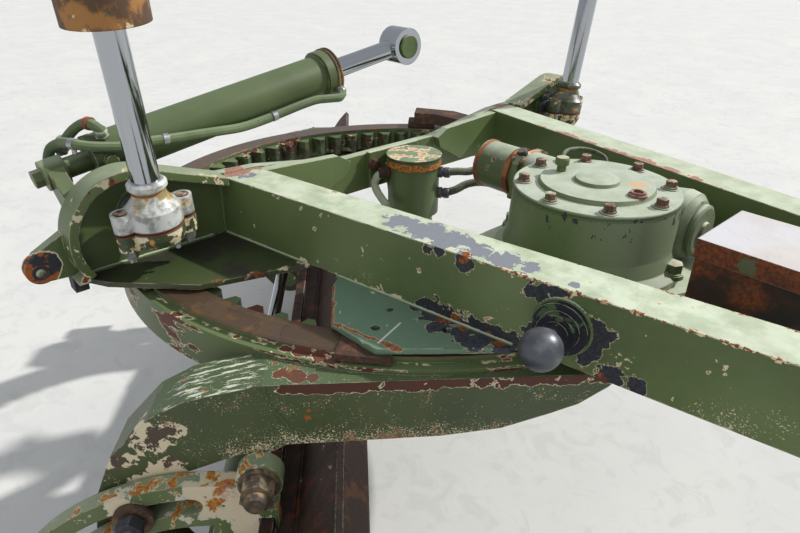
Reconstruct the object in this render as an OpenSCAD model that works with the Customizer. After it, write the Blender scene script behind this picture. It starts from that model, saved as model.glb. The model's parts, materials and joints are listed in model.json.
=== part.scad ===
// Drawbar, circle and blade of a motor grader, with its lift and side shift cylinders.
// Millimetres. Origin at the nose ball, +X forward, +Y left, +Z up.

/* [Drawbar] */
// Distance from the nose ball back to the centre of the circle
ring_back = 2400; // [2250:10:2700]
// Angle between each arm and the centre line
arm_angle = 10.9; // [10:0.1:12]
// Height of an arm
arm_h = 140; // [120:5:160]
// Width of an arm
arm_w = 94; // [80:1:110]
// Height of the arms' tops over the circle's wear band
arm_top = 158; // [156:1:190]
// Distance from the nose ball back to the arms' front ends
nose_len = 400; // [350:10:500]
// Distance behind the circle's centre where the arms end
arm_rear = 95; // [80:5:120]
// Thickness of the plates under the arms
plate_t = 12; // [8:1:12]
// Thickness of the cross plate
cross_t = 25; // [16:1:35]
// Width of the nose beam
beam_w = 190; // [150:5:220]
// Height of the nose beam's top over the wear band
beam_top = 191; // [180:1:200]
// Radius of the nose ball
nose_ball_r = 60; // [45:1:70]
// Angle that the circle is turned from straight ahead
circle_turn = 51.5; // [-90:0.5:90]

/* [Circle] */
// Teeth of the circle
ring_teeth = 68; // [60:1:72]
// Teeth of the pinion
pinion_teeth = 12; // [12:1:16]
// Gear module
gear_module = 19.8; // [18:0.1:21]
// Pressure angle of the teeth
pressure_angle = 25; // [22:0.5:27]
// Play between meshing teeth, along the pitch circle
gear_play = 2.4; // [1.6:0.2:4]
// Width of the wear band
band_w = 67; // [50:1:75]
// Height of the wear band over the teeth and the rim
band_h = 12; // [8:1:14]
// Width of the rim outside the wear band
rim_w = 22; // [16:1:30]
// Height of the circle's outer wall
wall_h = 88; // [70:1:95]
// Height of the teeth
tooth_h = 62; // [50:1:70]

/* [Circle arms and blade] */
// Thickness of a circle arm
side_arm_t = 105; // [80:5:120]
// Distance of the arms' outer faces from the circle's centre
side_arm_out = 795; // [785:5:830]
// Distance of the pitch pivot behind the circle's centre
pivot_back = 450; // [440:5:470]
// Depth of the pitch pivot under the wear band
pivot_down = 640; // [620:5:660]
// Radius of the pitch pins
pivot_pin_r = 30; // [20:1:36]
// Radius of the pitch slot about the pivot
slot_r = 384; // [376:1:392]
// Length of the blade
blade_len = 3660; // [3000:10:4270]
// Radius of the blade's curve
blade_r = 375; // [365:1:385]
// Thickness of the blade plate
blade_t = 19; // [12:1:25]
// Height of the cutting edges
edge_h = 152; // [120:1:200]
// Thickness of the cutting edges
edge_t = 19; // [12:1:25]
// Thickness of a pitch plate
pitch_plate_t = 36; // [25:1:45]
// Radius of the blade shift cylinder's barrel
shift_r = 40; // [34:1:42]

/* [Lift cylinders] */
// Distance of a lift ball from the centre line
lift_y = 720; // [700:5:740]
// Radius of the lift and shift balls
ball_r = 35; // [30:1:38]
// Radius of the lift rods
lift_rod_r = 28; // [22:1:32]
// Radius of the lift barrels
lift_barrel_r = 60; // [52:1:66]
// Distance from a lift ball to its barrel at rest
lift_out = 390; // [350:10:500]
// Length of a lift barrel
lift_len = 1100; // [1090:10:1300]
// Outward lean of the lift cylinders
lift_lean = 3.9; // [0:0.1:8]
// Forward lean of the lift cylinders
lift_fore = 3.1; // [0:0.1:4]
// Radius of the lift barrels' trunnion pins
trunnion_r = 25; // [20:1:32]
// Radius of the bowl of a ball cap
cap_r = 56; // [52:1:60]
// Height of a ball cap over its ball
cap_h = 46; // [42:1:50]
// Distance from a ball to the bolts of its cap
ear_at = 63; // [60:1:68]

/* [Side shift cylinder] */
// Radius of the side shift barrel
side_barrel_r = 50; // [42:1:54]
// Radius of the side shift rod
side_rod_r = 25; // [18:1:30]
// Length from the side shift ball to the end of the barrel
side_barrel_len = 620; // [580:10:700]
// Length from the side shift ball to the rod's eye at rest
side_eye_at = 878; // [840:10:940]
// Radius of the hoses along it
hose_r = 11; // [8:1:13]
// Upward slope of the side shift cylinder
side_slope = 9.5; // [4:0.5:12]
// Radius of the side shift eye's bore
eye_bore_r = 25; // [18:1:28]

/* [Circle drive] */
// Radius of the gearbox body
box_r = 172; // [150:1:180]
// Height of the gearbox cover's top over the wear band
box_top = 192; // [185:1:200]
// Distance of the worm's axis from the gearbox axis
worm_y = 125; // [115:1:130]
// Height of the worm's axis over the wear band
worm_z = 112; // [105:1:118]
// Radius of the worm housing
worm_r = 62; // [54:1:66]
// Length of the drive motor's can
motor_len = 115; // [90:5:125]
// Radius of the drive motor's can
motor_r = 64; // [54:1:66]
// Radius of the swivel
swivel_r = 76; // [60:1:80]
// Height of the swivel's top over the wear band
swivel_top = 125; // [110:1:140]

/* [Hidden] */
$fn = 64;

// paint and metal colours
green = [0.33, 0.41, 0.29];
dark_green = [0.24, 0.31, 0.20];
rust = [0.45, 0.27, 0.15];
brown = [0.30, 0.19, 0.14];
bare_steel = [0.50, 0.45, 0.40];
chrome = [0.80, 0.80, 0.82];
blue_grey = [0.22, 0.25, 0.29];
black = [0.08, 0.08, 0.08];

seat = 0.3;         // gap where curved faces of two pieces meet
run_gap = 0.3;      // running clearance of a pin in its bore
far = 5000;         // longer than the whole assembly

// heights and places in the circle's own frame, z = 0 on the wear band
band_z = -(arm_top - arm_h / 2);
arm_base = arm_top - arm_h;
plate_base = arm_base - plate_t;
arm_side = arm_w / 2 / cos(arm_angle);

// distance of an arm's inner and outer side from the centre line, at x from the nose ball
function arm_mid_y(x) = -x * tan(arm_angle);
function arm_in_y(x) = arm_mid_y(x) - arm_side;
function arm_out_y(x) = arm_mid_y(x) + arm_side;
// the same at x from the circle's centre
function ring_in_y(x) = arm_in_y(x - ring_back);
function ring_out_y(x) = arm_out_y(x - ring_back);

// gears
ring_pitch_r = ring_teeth * gear_module / 2;
pinion_pitch_r = pinion_teeth * gear_module / 2;
addendum = 0.8 * gear_module;
dedendum = 1.0 * gear_module;
ring_root_r = ring_pitch_r + dedendum;
ring_tip_r = ring_pitch_r - addendum;
pinion_x = ring_pitch_r - pinion_pitch_r;
band_out_r = ring_root_r + band_w;
ring_out_r = band_out_r + rim_w;
wall_base = -band_h - wall_h;
tooth_base = -band_h - tooth_h;

function involute(a) = tan(a) * 180 / PI - a;
function tooth_half(teeth, r, play) =
    let (base_r = teeth * gear_module / 2 * cos(pressure_angle))
    90 / teeth + involute(pressure_angle) - involute(r > base_r ? acos(base_r / r) : 0)
    - play / (teeth * gear_module) * 180 / PI;
function polar(r, a) = [r * cos(a), r * sin(a)];
flank_steps = 4;
// outline of a gear with outward teeth, the first centred on +X
function gear_outline(teeth, root_r, tip_r, play) =
    let (pitch = 360 / teeth, step = (tip_r - root_r) / flank_steps)
    [for (i = [0:teeth - 1])
        for (p = concat(
            [for (k = [0:flank_steps]) let (r = root_r + k * step) [r, -tooth_half(teeth, r, play)]],
            [for (k = [flank_steps:-1:0]) let (r = root_r + k * step) [r, tooth_half(teeth, r, play)]]))
        polar(p[0], i * pitch + p[1])];

module at_ring() translate([-ring_back, 0, band_z]) children();
module on_circle() at_ring() rotate([0, 0, circle_turn]) children();
// mirrors a piece drawn for the left side to the right one, side = -1
module mirror_side(side) mirror([0, side < 0 ? 1 : 0, 0]) children();
// a profile in X and Z, drawn from y0 to y1
module side_plate(y0, y1) translate([0, y1, 0]) rotate([90, 0, 0]) linear_extrude(y1 - y0) children();
// a profile in Y and Z, drawn from x0 to x1
module front_plate(x0, x1) translate([x0, 0, 0]) rotate([90, 0, 90]) linear_extrude(x1 - x0) children();
module flat_plate(z0, z1) translate([0, 0, z0]) linear_extrude(z1 - z0) children();
module rod_x(x0, x1, r) translate([x0, 0, 0]) rotate([0, 90, 0]) cylinder(r = r, h = x1 - x0);
module rod_y(y0, y1, r) translate([0, y0, 0]) rotate([-90, 0, 0]) cylinder(r = r, h = y1 - y0);
module rod_z(z0, z1, r) translate([0, 0, z0]) cylinder(r = r, h = z1 - z0);
// turned shapes, from rows of radius and distance along the axis
module turned_z(rows) rotate_extrude() polygon(rows);
module turned_x(rows) rotate([0, 90, 0]) rotate_extrude() polygon(rows);

// a hose: a round tube through points that lie on one smooth curve
function unit(v) = v / norm(v);
function curve_point(p, i, t) =
    let (a = p[max(i - 1, 0)], b = p[i], c = p[i + 1], d = p[min(i + 2, len(p) - 1)])
    0.5 * (2 * b + (c - a) * t + (2 * a - 5 * b + 4 * c - d) * t * t + (3 * b - a - 3 * c + d) * t * t * t);
function smooth_path(p, steps) = concat(
    [for (i = [0:len(p) - 2]) for (k = [0:steps - 1]) curve_point(p, i, k / steps)], [p[len(p) - 1]]);
function ahead_at(path, i) = unit(path[min(i + 1, len(path) - 1)] - path[max(i - 1, 0)]);
function square_to(v, ahead) = unit(v - ahead * (v * ahead));
function sides_of(path, i = 0, last = [0.31, 0.17, 0.93]) =
    i == len(path) ? [] :
    let (side = square_to(last, ahead_at(path, i))) concat([side], sides_of(path, i + 1, side));
hose_sides = 10;
module hose(points, r, steps = 3) {
    path = smooth_path(points, steps);
    sides = sides_of(path);
    n = hose_sides;
    last = len(path) - 1;
    polyhedron(
        [for (i = [0:last]) let (over = cross(ahead_at(path, i), sides[i]))
            for (k = [0:n - 1]) path[i] + r * (cos(360 * k / n) * sides[i] + sin(360 * k / n) * over)],
        concat(
            [for (i = [0:last - 1]) for (k = [0:n - 1]) let (a = i * n + k, b = i * n + (k + 1) % n)
                each [[a, a + n, b], [b, a + n, b + n]]],
            [for (k = [1:n - 2]) [0, k, k + 1]],
            [for (k = [1:n - 2]) [last * n, last * n + k + 1, last * n + k]]));
}

// Drawbar

module drawbar_arm(side) {
    x0 = -ring_back - arm_rear;
    x1 = -nose_len;
    color(green) mirror_side(side) flat_plate(-arm_h / 2, arm_h / 2)
        polygon([[x0, arm_in_y(x0)], [x0, arm_out_y(x0)], [x1, arm_out_y(x1)], [x1, arm_in_y(x1)]]);
}

cross_low = 120;    // height of the cross plate's middle
notch_y = 165;      // half the length of its low middle
peak_y = 204;       // where its raised shoulders start
peak_z = 142;       // height of the shoulders there
module cross_plate() {
    y_arm = ring_in_y(-arm_rear);
    y_end = ring_out_y(-arm_rear);
    color(green) at_ring() {
        front_plate(-arm_rear - cross_t, -arm_rear)
            polygon([[-y_end, arm_base], [y_end, arm_base], [y_end, arm_top + 6], [y_arm, arm_top + 2],
                [notch_y, cross_low], [-notch_y, cross_low], [-y_arm, arm_top + 2], [-y_end, arm_top + 6]]);
        for (side = [-1, 1]) mirror_side(side) {
            y_front = ring_in_y(-arm_rear + cross_t);
            front_plate(-arm_rear, -arm_rear + cross_t)
                polygon([[notch_y, cross_low], [peak_y, peak_z], [y_front, arm_top - 4],
                    [y_front, arm_base], [peak_y + 60, arm_base + 20], [notch_y + 12, cross_low - 30]]);
        }
    }
}

wing_y = 745;       // centre of the wing's round ear
wing_z = 95;
wing_r = 135;
flange_t = 18;
flange_depth = 44;
module wing_shape(grow) intersection() {
    union() {
        translate([wing_y, wing_z]) circle(r = wing_r - grow);
        polygon([[ring_out_y(-arm_rear), arm_base], [ring_out_y(-arm_rear), arm_top + 6 - grow],
            [wing_y - 46, wing_z + 127 - grow], [wing_y, wing_z], [wing_y + wing_r - grow, arm_base]]);
    }
    translate([ring_out_y(-arm_rear), arm_base]) square([wing_r * 3, wing_r * 3]);
}
wing_ear = [930, 54];   // the right wing's ear, behind its round edge
wing_ear_r = 30;
module wing_ear_shape() {
    translate(wing_ear) circle(r = wing_ear_r);
    polygon([[wing_y + 100, wing_z + 40], wing_ear + [6, wing_ear_r + 3], wing_ear + [26, 10],
        wing_ear + [-4, 2 - wing_ear_r], [wing_y + 100, arm_base + 2]]);
}
module wing(side) color(green) at_ring() mirror_side(side) {
    front_plate(-arm_rear - cross_t, -arm_rear) {
        wing_shape(0);
        if (side < 0) wing_ear_shape();
    }
    front_plate(-arm_rear, -arm_rear + flange_depth) difference() {
        wing_shape(0);
        wing_shape(flange_t);
        translate([0, arm_base - 1]) square([wing_y, 60]);
    }
}

module rear_plate(side) color(dark_green) at_ring() mirror_side(side) flat_plate(plate_base, arm_base)
    polygon([[-arm_rear - cross_t, ring_in_y(-arm_rear)], [-arm_rear - cross_t, wing_y + wing_r],
        [-32, wing_y + 88], [103, lift_y - 23], [165, ring_out_y(165) + 15], [175, ring_in_y(175)]]);

module shoe_plate(side) color(green) at_ring() mirror_side(side) difference() {
    flat_plate(plate_base, arm_base)
        polygon([[250, ring_in_y(250)], [250, 445], [287, 500], [390, 580], [508, 574],
            [660, ring_out_y(660) + 15], [680, ring_in_y(680)]]);
    for (p = [[458, 530], [551, 438]]) translate([p[0], p[1], 0]) rod_z(plate_base - 1, arm_base + 1, 9);
}

// places of the guide shoes: angle about the circle's centre
shoe_angles = [-93, -50, 50, 93];
rear_shoe_angle = 134;
shoe_clear = 1;
module guide_shoe(angle, top, $fn = 200) intersection() {
    rotate([0, 0, angle]) translate([ring_root_r + 8, -50, -band_h])
        cube([band_out_r + 18 - ring_root_r - 8, 100, far]);
    difference() {
        rod_z(-band_h + 3, top, band_out_r + 16);
        rod_z(-band_h, shoe_clear, band_out_r + shoe_clear);
        rod_z(-band_h, top + 1, ring_root_r + 8);
    }
}
// the rear shoes hang on bars behind the wings
module guide_shoes() color(rust) at_ring() {
    for (a = shoe_angles) guide_shoe(a, plate_base);
    for (side = [-1, 1]) mirror_side(side) {
        guide_shoe(rear_shoe_angle, arm_base + 4);
        flat_plate(arm_base, arm_base + 40) polygon([[-arm_rear - cross_t, 560], [-arm_rear - cross_t, 620],
            [-430, 620], [-560, 548], [-505, 484], [-440, 530]]);
    }
}

clip_angles = [-95, -35, 35, 95];
module hold_down_clips() color(rust) at_ring() for (a = clip_angles) rotate([0, 0, a]) {
    translate([ring_tip_r - 40, -40, tooth_base - 30]) cube([30, 80, plate_base - tooth_base + 30]);
    translate([ring_tip_r - 10, -40, tooth_base - 30]) cube([30, 80, 24]);
}

deck_x0 = 330;
deck_x1 = 1000;
module gearbox_deck() color(green) at_ring() difference() {
    flat_plate(arm_base - 10, arm_base + 10) polygon([
        [deck_x0, seat - ring_in_y(deck_x0)], [deck_x0, ring_in_y(deck_x0) - seat],
        [deck_x1, ring_in_y(deck_x1) - seat], [deck_x1, seat - ring_in_y(deck_x1)]]);
    translate([pinion_x, 0, 0]) rod_z(0, far, 75);
}

beam_x0 = 815;
beam_lid = 37;      // thickness of the beam's top slab
beam_step = 3;      // how far the slab stands out over the beam below it
module nose_beam() {
    x0 = beam_x0 - ring_back;
    x1 = -(beam_w / 2 + seat + arm_side) / tan(arm_angle);
    x2 = -nose_len;
    y2 = arm_in_y(x2) - seat;
    seam_z = band_z + beam_top - beam_lid;
    color(rust) for (part = [[band_z + arm_base + 10, seam_z, beam_step], [seam_z, band_z + beam_top, 0]]) {
        y0 = beam_w / 2 - part[2];
        flat_plate(part[0], part[1]) polygon([[x0 + part[2], -y0], [x0 + part[2], y0], [x1, y0], [x2, y2],
            [x2, -y2], [x1, -y0]]);
    }
}

nose_face = 170;    // distance of the nose block's front face behind the ball
module nose_block() color(green) flat_plate(-arm_h / 2, arm_h / 2)
    polygon([[-nose_len, -arm_out_y(-nose_len)], [-nose_len, arm_out_y(-nose_len)],
        [-nose_face, 85], [-nose_face, -85]]);

module nose_ball_stud() color(blue_grey) {
    sphere(r = nose_ball_r);
    rod_x(-nose_face + 30, -30, nose_ball_r * 0.6);
    rod_x(-nose_face, -nose_face + 30, 66);
}

// Circle drive

shaft_r = 45;
cover_base = box_top - 12;
bolt_circle = 151;  // radius of the cover's bolt circle
bolt_turn = -4;     // angle of its first bolt
worm_end = 178;     // distance of the worm housing's front end from the gearbox axis
motor_x = 270;      // distance of the motor's mounting face ahead of the circle's centre
motor_gap = 30;     // length of the flange between the motor and the worm housing
port_side = [54, -25];  // corners of the flange's two port blocks, beside and under the worm's axis
port_low = [14, -82];
port_x = motor_x + 5;
module on_worm(x) translate([x, worm_y, worm_z]) children();
module gearbox_housing() color(green) at_ring() difference() {
    union() {
        translate([pinion_x, 0, 0]) turned_z([[0, plate_base], [75 - seat, plate_base],
            [75 - seat, arm_base + 10], [box_r + 30, arm_base + 10], [box_r + 30, arm_base + 24],
            [box_r + 12, arm_base + 40], [box_r + 4, arm_base + 70], [box_r, cover_base], [0, cover_base]]);
        worm_back = motor_x + motor_gap - pinion_x;
        on_worm(pinion_x) turned_x([[0, worm_back], [worm_r, worm_back], [worm_r, worm_end - 98],
            [worm_r + 10, worm_end - 78], [worm_r + 16, worm_end - 38], [worm_r + 12, worm_end - 16],
            [worm_r, worm_end - 4], [worm_r - 10, worm_end], [0, worm_end]]);
    }
    translate([pinion_x, 0, 0]) rod_z(0, 80, shaft_r + run_gap);
    translate([pinion_x, 0, 0]) rod_z(cover_base, far, box_r + 1 + seat);
}

module gearbox_cover() color(green) at_ring() translate([pinion_x, 0, 0]) {
    turned_z([[0, cover_base], [box_r + 1, cover_base], [box_r + 1, box_top - 2], [box_r - 1, box_top],
        [121, box_top], [117, box_top + 9], [47, box_top + 9], [45, box_top + 16], [34, box_top + 18],
        [0, box_top + 18]]);
    for (i = [0:7]) rotate([0, 0, bolt_turn + 45 * i]) translate([bolt_circle, 0, 0])
        rod_z(box_top - 4, box_top + 2, 18);
}

module worm_end_cover() color(green) at_ring() on_worm(pinion_x + worm_end)
    turned_x([[0, 0], [56, 0], [56, 8], [50, 12], [22, 12], [20, 18], [0, 18]]);

module motor_flange() color(green) at_ring() on_worm(motor_x) {
    rod_x(0, 13, 56);
    front_plate(12, motor_gap)
        polygon([[-60, -42], [-42, -60], [42, -60], [60, -42], [60, 42], [42, 60], [-42, 60], [-60, 42]]);
    translate([port_x - motor_x, port_side[0], port_side[1]]) cube([motor_gap - 5, 44, 42]);
    translate([port_x - motor_x, port_low[0], port_low[1]]) cube([motor_gap - 5, 42, 34]);
}

module drive_motor() color(green) at_ring() on_worm(motor_x - motor_len)
    turned_x([[0, 0], [motor_r - 6, 0], [motor_r, 5], [motor_r, 13], [motor_r - 3, 15],
        [motor_r - 3, motor_len - 14], [motor_r, motor_len - 12], [motor_r, motor_len], [0, motor_len]]);

module drive_pinion() color(bare_steel) at_ring() translate([pinion_x, 0, 0]) {
    flat_plate(tooth_base, -band_h + 4)
        polygon(gear_outline(pinion_teeth, pinion_pitch_r - dedendum, pinion_pitch_r + addendum,
            gear_play / 2));
    rod_z(-band_h + 4, 78, shaft_r);
}

swivel_base = -40;
swivel_body_r = swivel_r - 5;
module swivel_upper() color(green) at_ring() turned_z([[0, swivel_base], [swivel_body_r, swivel_base],
    [swivel_body_r, swivel_top - 30], [swivel_r - 1, swivel_top - 30], [swivel_r - 1, swivel_top - 4],
    [swivel_r, swivel_top - 4], [swivel_r, swivel_top], [0, swivel_top]]);

module swivel_bracket() color(green) at_ring() difference() {
    union() {
        translate([-arm_rear, -91, 25]) cube([15, 182, 100]);
        translate([-arm_rear, -40, 30]) cube([arm_rear - 20, 80, 55]);
    }
    rod_z(0, far, swivel_body_r + seat);
}

// Hoses between the swivel, the drive motor and the near arm, with the gearbox's breather pipe

function swivel_port(angle, out, z) = [out * cos(angle), out * sin(angle), z];
drive_hose_r = 11;
// the first and last three points of a hose lie in line, so that its ends are square to their ports
port_steps = [0.5, 8, 15.5];
function from_swivel(angle, z) = [for (step = port_steps) swivel_port(angle, swivel_body_r + step, z)];
function into_motor(y, z) = [for (back = [40, 20, seat]) [port_x - back, worm_y + y, worm_z + z]];
motor_hose = concat(from_swivel(35, 78),
    [[86, 84, 77], [94, 122, 70], [112, 165, 76], [150, 201, 90], [200, 206, 101]], into_motor(77, -9));
drain_hose = concat(from_swivel(35, 18),
    [[92, 74, 27], [102, 110, 38], [125, 143, 42], [165, 159, 42]], into_motor(36, -68));
arm_face = [120, -ring_in_y(120) + 1, 60];
arm_way = [-sin(arm_angle), cos(arm_angle), 0];
arm_hose = concat(from_swivel(-115, 78),
    [[-47, -91, 68], [-57, -94, 45], [-42, -94, 20], [8, -104, -4], [60, -160, -2], [98, -255, 24]],
    [for (back = [60, 30, 0]) arm_face + back * arm_way]);
// the breather pipe runs from the cover round its far edge to the worm housing's top
pipe_way = [0, sin(42), cos(42)];
pipe_foot = [474, worm_y, worm_z] + (worm_r + seat) * pipe_way;
breather_pipe = concat([for (up = [seat, 6, 12]) [420, 72, box_top + up]],
    [[411, 92, box_top + 17], [402, 130, box_top + 14], [411, 171, box_top + 9],
        [436, 189, box_top + 3], [463, 189, box_top - 6]],
    [for (out = [14, 7, 0]) pipe_foot + out * pipe_way]);
module drive_hoses() color(black) at_ring() {
    hose(motor_hose, drive_hose_r);
    hose(drain_hose, drive_hose_r);
    hose(arm_hose, drive_hose_r);
    hose(breather_pipe, 5);
}

// Balls

lift_x = -11;
lift_z = 126;
wing_face = -arm_rear - lift_x;
module lift_ball(side) color(blue_grey) at_ring() mirror_side(side) translate([lift_x, lift_y, lift_z]) {
    sphere(r = ball_r);
    turned_x([[0, wing_face], [46, wing_face], [46, wing_face + 8], [ball_r * 0.6, wing_face + 18],
        [ball_r * 0.6, -ball_r * 0.6], [0, -ball_r * 0.6]]);
}

spare_x = 740;
module spare_ball() color(blue_grey)
    translate([spare_x - ring_back, -arm_out_y(spare_x - ring_back), 2]) rotate([0, 0, -90 + arm_angle]) {
    translate([82, 0, 0]) sphere(r = ball_r);
    rod_x(seat, 14, 48);
    rod_x(14, 30, 34);
    rod_x(30, 60, 22);
}

// Side shift cylinder: its ball stands behind the right wing

side_x = -200;
side_y = -739;
side_z = 226;
lug_t = 45;
lug_gap = 80;       // from the ball's centre to the lug
lug_r = 32;
module side_shift_lug() color(green) along_side_shift() {
    rod_y(-lug_gap - lug_t, -lug_gap, lug_r);
    // the web to the wing's rear face
    wing_back = -arm_rear - cross_t - side_x;
    side_plate(-lug_gap - lug_t + 8, -lug_gap - 7)
        polygon([[-lug_r + 2, -6], [-12, 22], [22, 22], [wing_back, -40], [wing_back, -190], [20, -140]]);
    translate([0, -lug_gap - lug_t - 20, 0]) rotate([-90, 0, 0]) cylinder(r = 19, h = 21, $fn = 6);
    rod_y(-lug_gap - 1, -ball_r * 0.5, 22);
    sphere(r = ball_r);
}

module along_side_shift() at_ring() translate([side_x, side_y, side_z]) rotate([side_slope, 0, 0]) children();

module side_shift_barrel() color(green) along_side_shift() difference() {
    union() {
        rod_y(-ball_r * 0.8, -9, side_barrel_r + 1);
        rod_y(-9, side_barrel_len - 40, side_barrel_r);
        rod_y(side_barrel_len - 40, side_barrel_len, side_barrel_r + 10);
        rod_x(ball_r + 8, side_barrel_r + 12, 14);
    }
    sphere(r = ball_r + run_gap);
    rod_y(-ball_r, -ball_r * 0.4, ball_r * 0.93);
    rod_y(ball_r + 30, side_barrel_len - 40, side_barrel_r - 10);
    rod_y(side_barrel_len - 41, side_barrel_len + 1, side_rod_r + run_gap);
}

// hoses on the barrel: one runs along it to the port at its front end, one ends in its rear port
front_hose = [[-58, -98, -8], [-58, -92, 12], [-50, -80, 33], [-27, -64, 45], [10, -58, 52], [35, -52, 53],
    [48, -28, 42], [56.5, 7, 30], [59.5, 35, 22], [62.5, 95, 12.5], [63.5, 141, 2], [63, 199, -10],
    [59.5, 249, -21.5], [53.5, 303, -34], [51, 359, -38.5], [51, 418, -38.5], [50.5, 479, -38],
    [50, 527, -40], [55, 552, -44], [61, 578, -49], [64, 594, -51.5], [58.2, 609, -46.8], [52.7, 609, -42.4],
    [47.2, 609, -38]];
rear_hose = [[21.3, 8, 46], [24.3, 8, 52.4], [27.3, 8, 58.8], [24, 2, 70], [8, -3, 74], [-14, -10, 71], [-31, -26, 61],
    [-41, -44, 46], [-54, -56, 30]];
module side_shift_hoses() color(black) along_side_shift() {
    hose(front_hose, hose_r);
    hose(rear_hose, hose_r);
}

module side_shift_rod() color(chrome) along_side_shift() difference() {
    union() {
        rod_y(side_barrel_len - 330, side_barrel_len - 300, side_barrel_r - 10 - run_gap);
        rod_y(side_barrel_len - 300, side_eye_at, side_rod_r);
        translate([0, side_eye_at, 0]) rod_x(-35, 35, 50);
    }
    translate([0, side_eye_at, 0]) rod_x(-36, 36, eye_bore_r);
}

// Lift cylinders

module along_lift(side) at_ring() mirror_side(side) translate([lift_x, lift_y, lift_z])
    rotate([-lift_lean, lift_fore, 0]) children();

piston_at = 1115;
cap_low = 44;       // depth of a ball cap under its ball
seam = 1.5;         // half the groove between its two halves
cap_ear_r = 21;
// one half of the two bolt ears, with a recess for the bolt's head
module cap_ears(z0, z1, recess_z) for (y = [-ear_at, ear_at]) difference() {
    union() {
        translate([0, y, 0]) rod_z(z0, z1, cap_ear_r);
        translate([1 - cap_ear_r, y > 0 ? cap_r - 12 : -ear_at, z0])
            cube([2 * cap_ear_r - 2, ear_at - cap_r + 12, z1 - z0]);
    }
    translate([0, y, 0]) rod_z(recess_z, recess_z + 4, cap_ear_r - 6);
}
module lift_rod(side) color(chrome) along_lift(side) difference() {
    union() {
        turned_z([[0, -cap_low], [34, -cap_low], [50, -cap_low + 8], [cap_r, -cap_low + 24],
            [cap_r, -seam], [cap_r - 3, -seam], [cap_r - 3, seam], [cap_r, seam], [cap_r, cap_h - 7],
            [cap_r - 8, cap_h], [cap_r - 20, cap_h + 14], [cap_r - 23, cap_h + 26], [31, cap_h + 26],
            [31, cap_h + 30], [36, cap_h + 32], [39, cap_h + 36], [39, cap_h + 44], [33, cap_h + 50],
            [lift_rod_r, cap_h + 50], [lift_rod_r, piston_at], [lift_barrel_r - 10 - run_gap, piston_at],
            [lift_barrel_r - 10 - run_gap, piston_at + 35], [0, piston_at + 35]]);
        cap_ears(seam, cap_h - 3, cap_h - 6);
        cap_ears(-cap_low + 6, -seam, -cap_low + 5);
    }
    sphere(r = ball_r + run_gap);
    rod_x(-cap_r - 5, -ball_r * 0.5, ball_r * 0.75);
}

gland_h = 60;
trunnion_at = 110;  // from the barrel's front end to the trunnions' axis
module lift_barrel(side) color(green) along_lift(side) difference() {
    union() {
        rod_z(lift_out, lift_out + gland_h, lift_barrel_r + 15);
        rod_z(lift_out + gland_h, lift_out + lift_len, lift_barrel_r);
        translate([0, 0, lift_out + trunnion_at]) {
            rod_x(-lift_barrel_r - 15, lift_barrel_r + 15, trunnion_r + 13);
            rod_x(-lift_barrel_r - 50, lift_barrel_r + 50, trunnion_r);
        }
    }
    rod_z(lift_out - 1, lift_out + gland_h + 1, lift_rod_r + run_gap);
    rod_z(lift_out + gland_h, lift_out + lift_len - 20, lift_barrel_r - 10);
}

// Circle

module circle_ring() color(brown) at_ring() difference() {
    rotate_extrude($fn = 128) polygon([
        [ring_tip_r, -band_h], [ring_root_r, -band_h], [ring_root_r, 0], [band_out_r, 0],
        [band_out_r, -band_h], [ring_out_r, -band_h], [ring_out_r, wall_base],
        [ring_out_r - 30, wall_base], [ring_out_r - 30, tooth_base], [ring_tip_r, tooth_base]]);
    flat_plate(tooth_base - 1, -band_h + 1)
        polygon(gear_outline(ring_teeth, ring_tip_r - 2, ring_root_r - 0.1, -gear_play / 2));
}

// side view of a circle arm: distance ahead of the circle's centre and height
arm_outline = [
    [300, -22], [-326, -22], [-409, -39], [-464, -53], [-528, -88], [-606, -173], [-650, -272],
    [-668, -370], [-640, -480], [-575, -600], [-500, -690],
    [-430, -590], [-505, -540], [-560, -440], [-565, -340], [-530, -262], [-474, -212], [-379, -176],
    [-317, -170], [-294, -156], [-16, -150], [94, -137], [180, -107], [230, -87], [280, -50]];
pivot_boss_r = 62;
module circle_arm(side) color(green) on_circle() mirror_side(side) difference() {
    side_plate(side_arm_out - side_arm_t, side_arm_out) union() {
        polygon(arm_outline);
        translate([-pivot_back, -pivot_down]) circle(r = pivot_boss_r);
    }
    translate([0, 0, wall_base]) cylinder(r = ring_out_r + seat, h = -wall_base, $fn = 200);
    translate([-pivot_back, 0, -pivot_down]) rod_y(0, side_arm_out + 1, pivot_pin_r + run_gap);
    translate([-pivot_back, 0, -pivot_down]) rotate([0, stud_angle, 0])
        translate([slot_r, 0, 0]) rod_y(side_arm_out - 30, side_arm_out + 1, stud_r + seat);
}

module swivel_bar() color(green) on_circle() {
    translate([-50, -side_arm_out + side_arm_t, wall_base - 38])
        cube([100, 2 * (side_arm_out - side_arm_t), 25]);
    rod_z(wall_base - 13, swivel_base - 5, swivel_r - 20);
}

stud_angle = -108;  // direction of the pitch studs from the pivot, about +Y
stud_r = 15;
module pitch_studs() color(blue_grey) on_circle() for (side = [-1, 1]) mirror_side(side)
    translate([-pivot_back, 0, -pivot_down]) rotate([0, stud_angle, 0]) translate([slot_r, 0, 0]) {
        rod_y(side_arm_out - 30, side_arm_out + pitch_plate_t + 50, stud_r);
        rod_y(side_arm_out + pitch_plate_t + 7, side_arm_out + pitch_plate_t + 15, 36);
    }

// Pitch brackets: they turn on the pitch pins and carry the blade's rails

blade_x = 62;       // centre of the blade's curve
blade_z = -510;
rail_head = 25;
rail_half = 35;
rail_neck = 8;
rails = [[-348, -330], [-370, -640]];   // back of each rail's head, and its height
jaw_gap = 2;
slot_half = 19;     // half the width of the pitch slot
slot_ends = [92, 134];  // its ends, as angles about the pivot
ear_angle = 76;     // direction of the bracket's front ear from the pivot
ear_r = 447;

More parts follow.
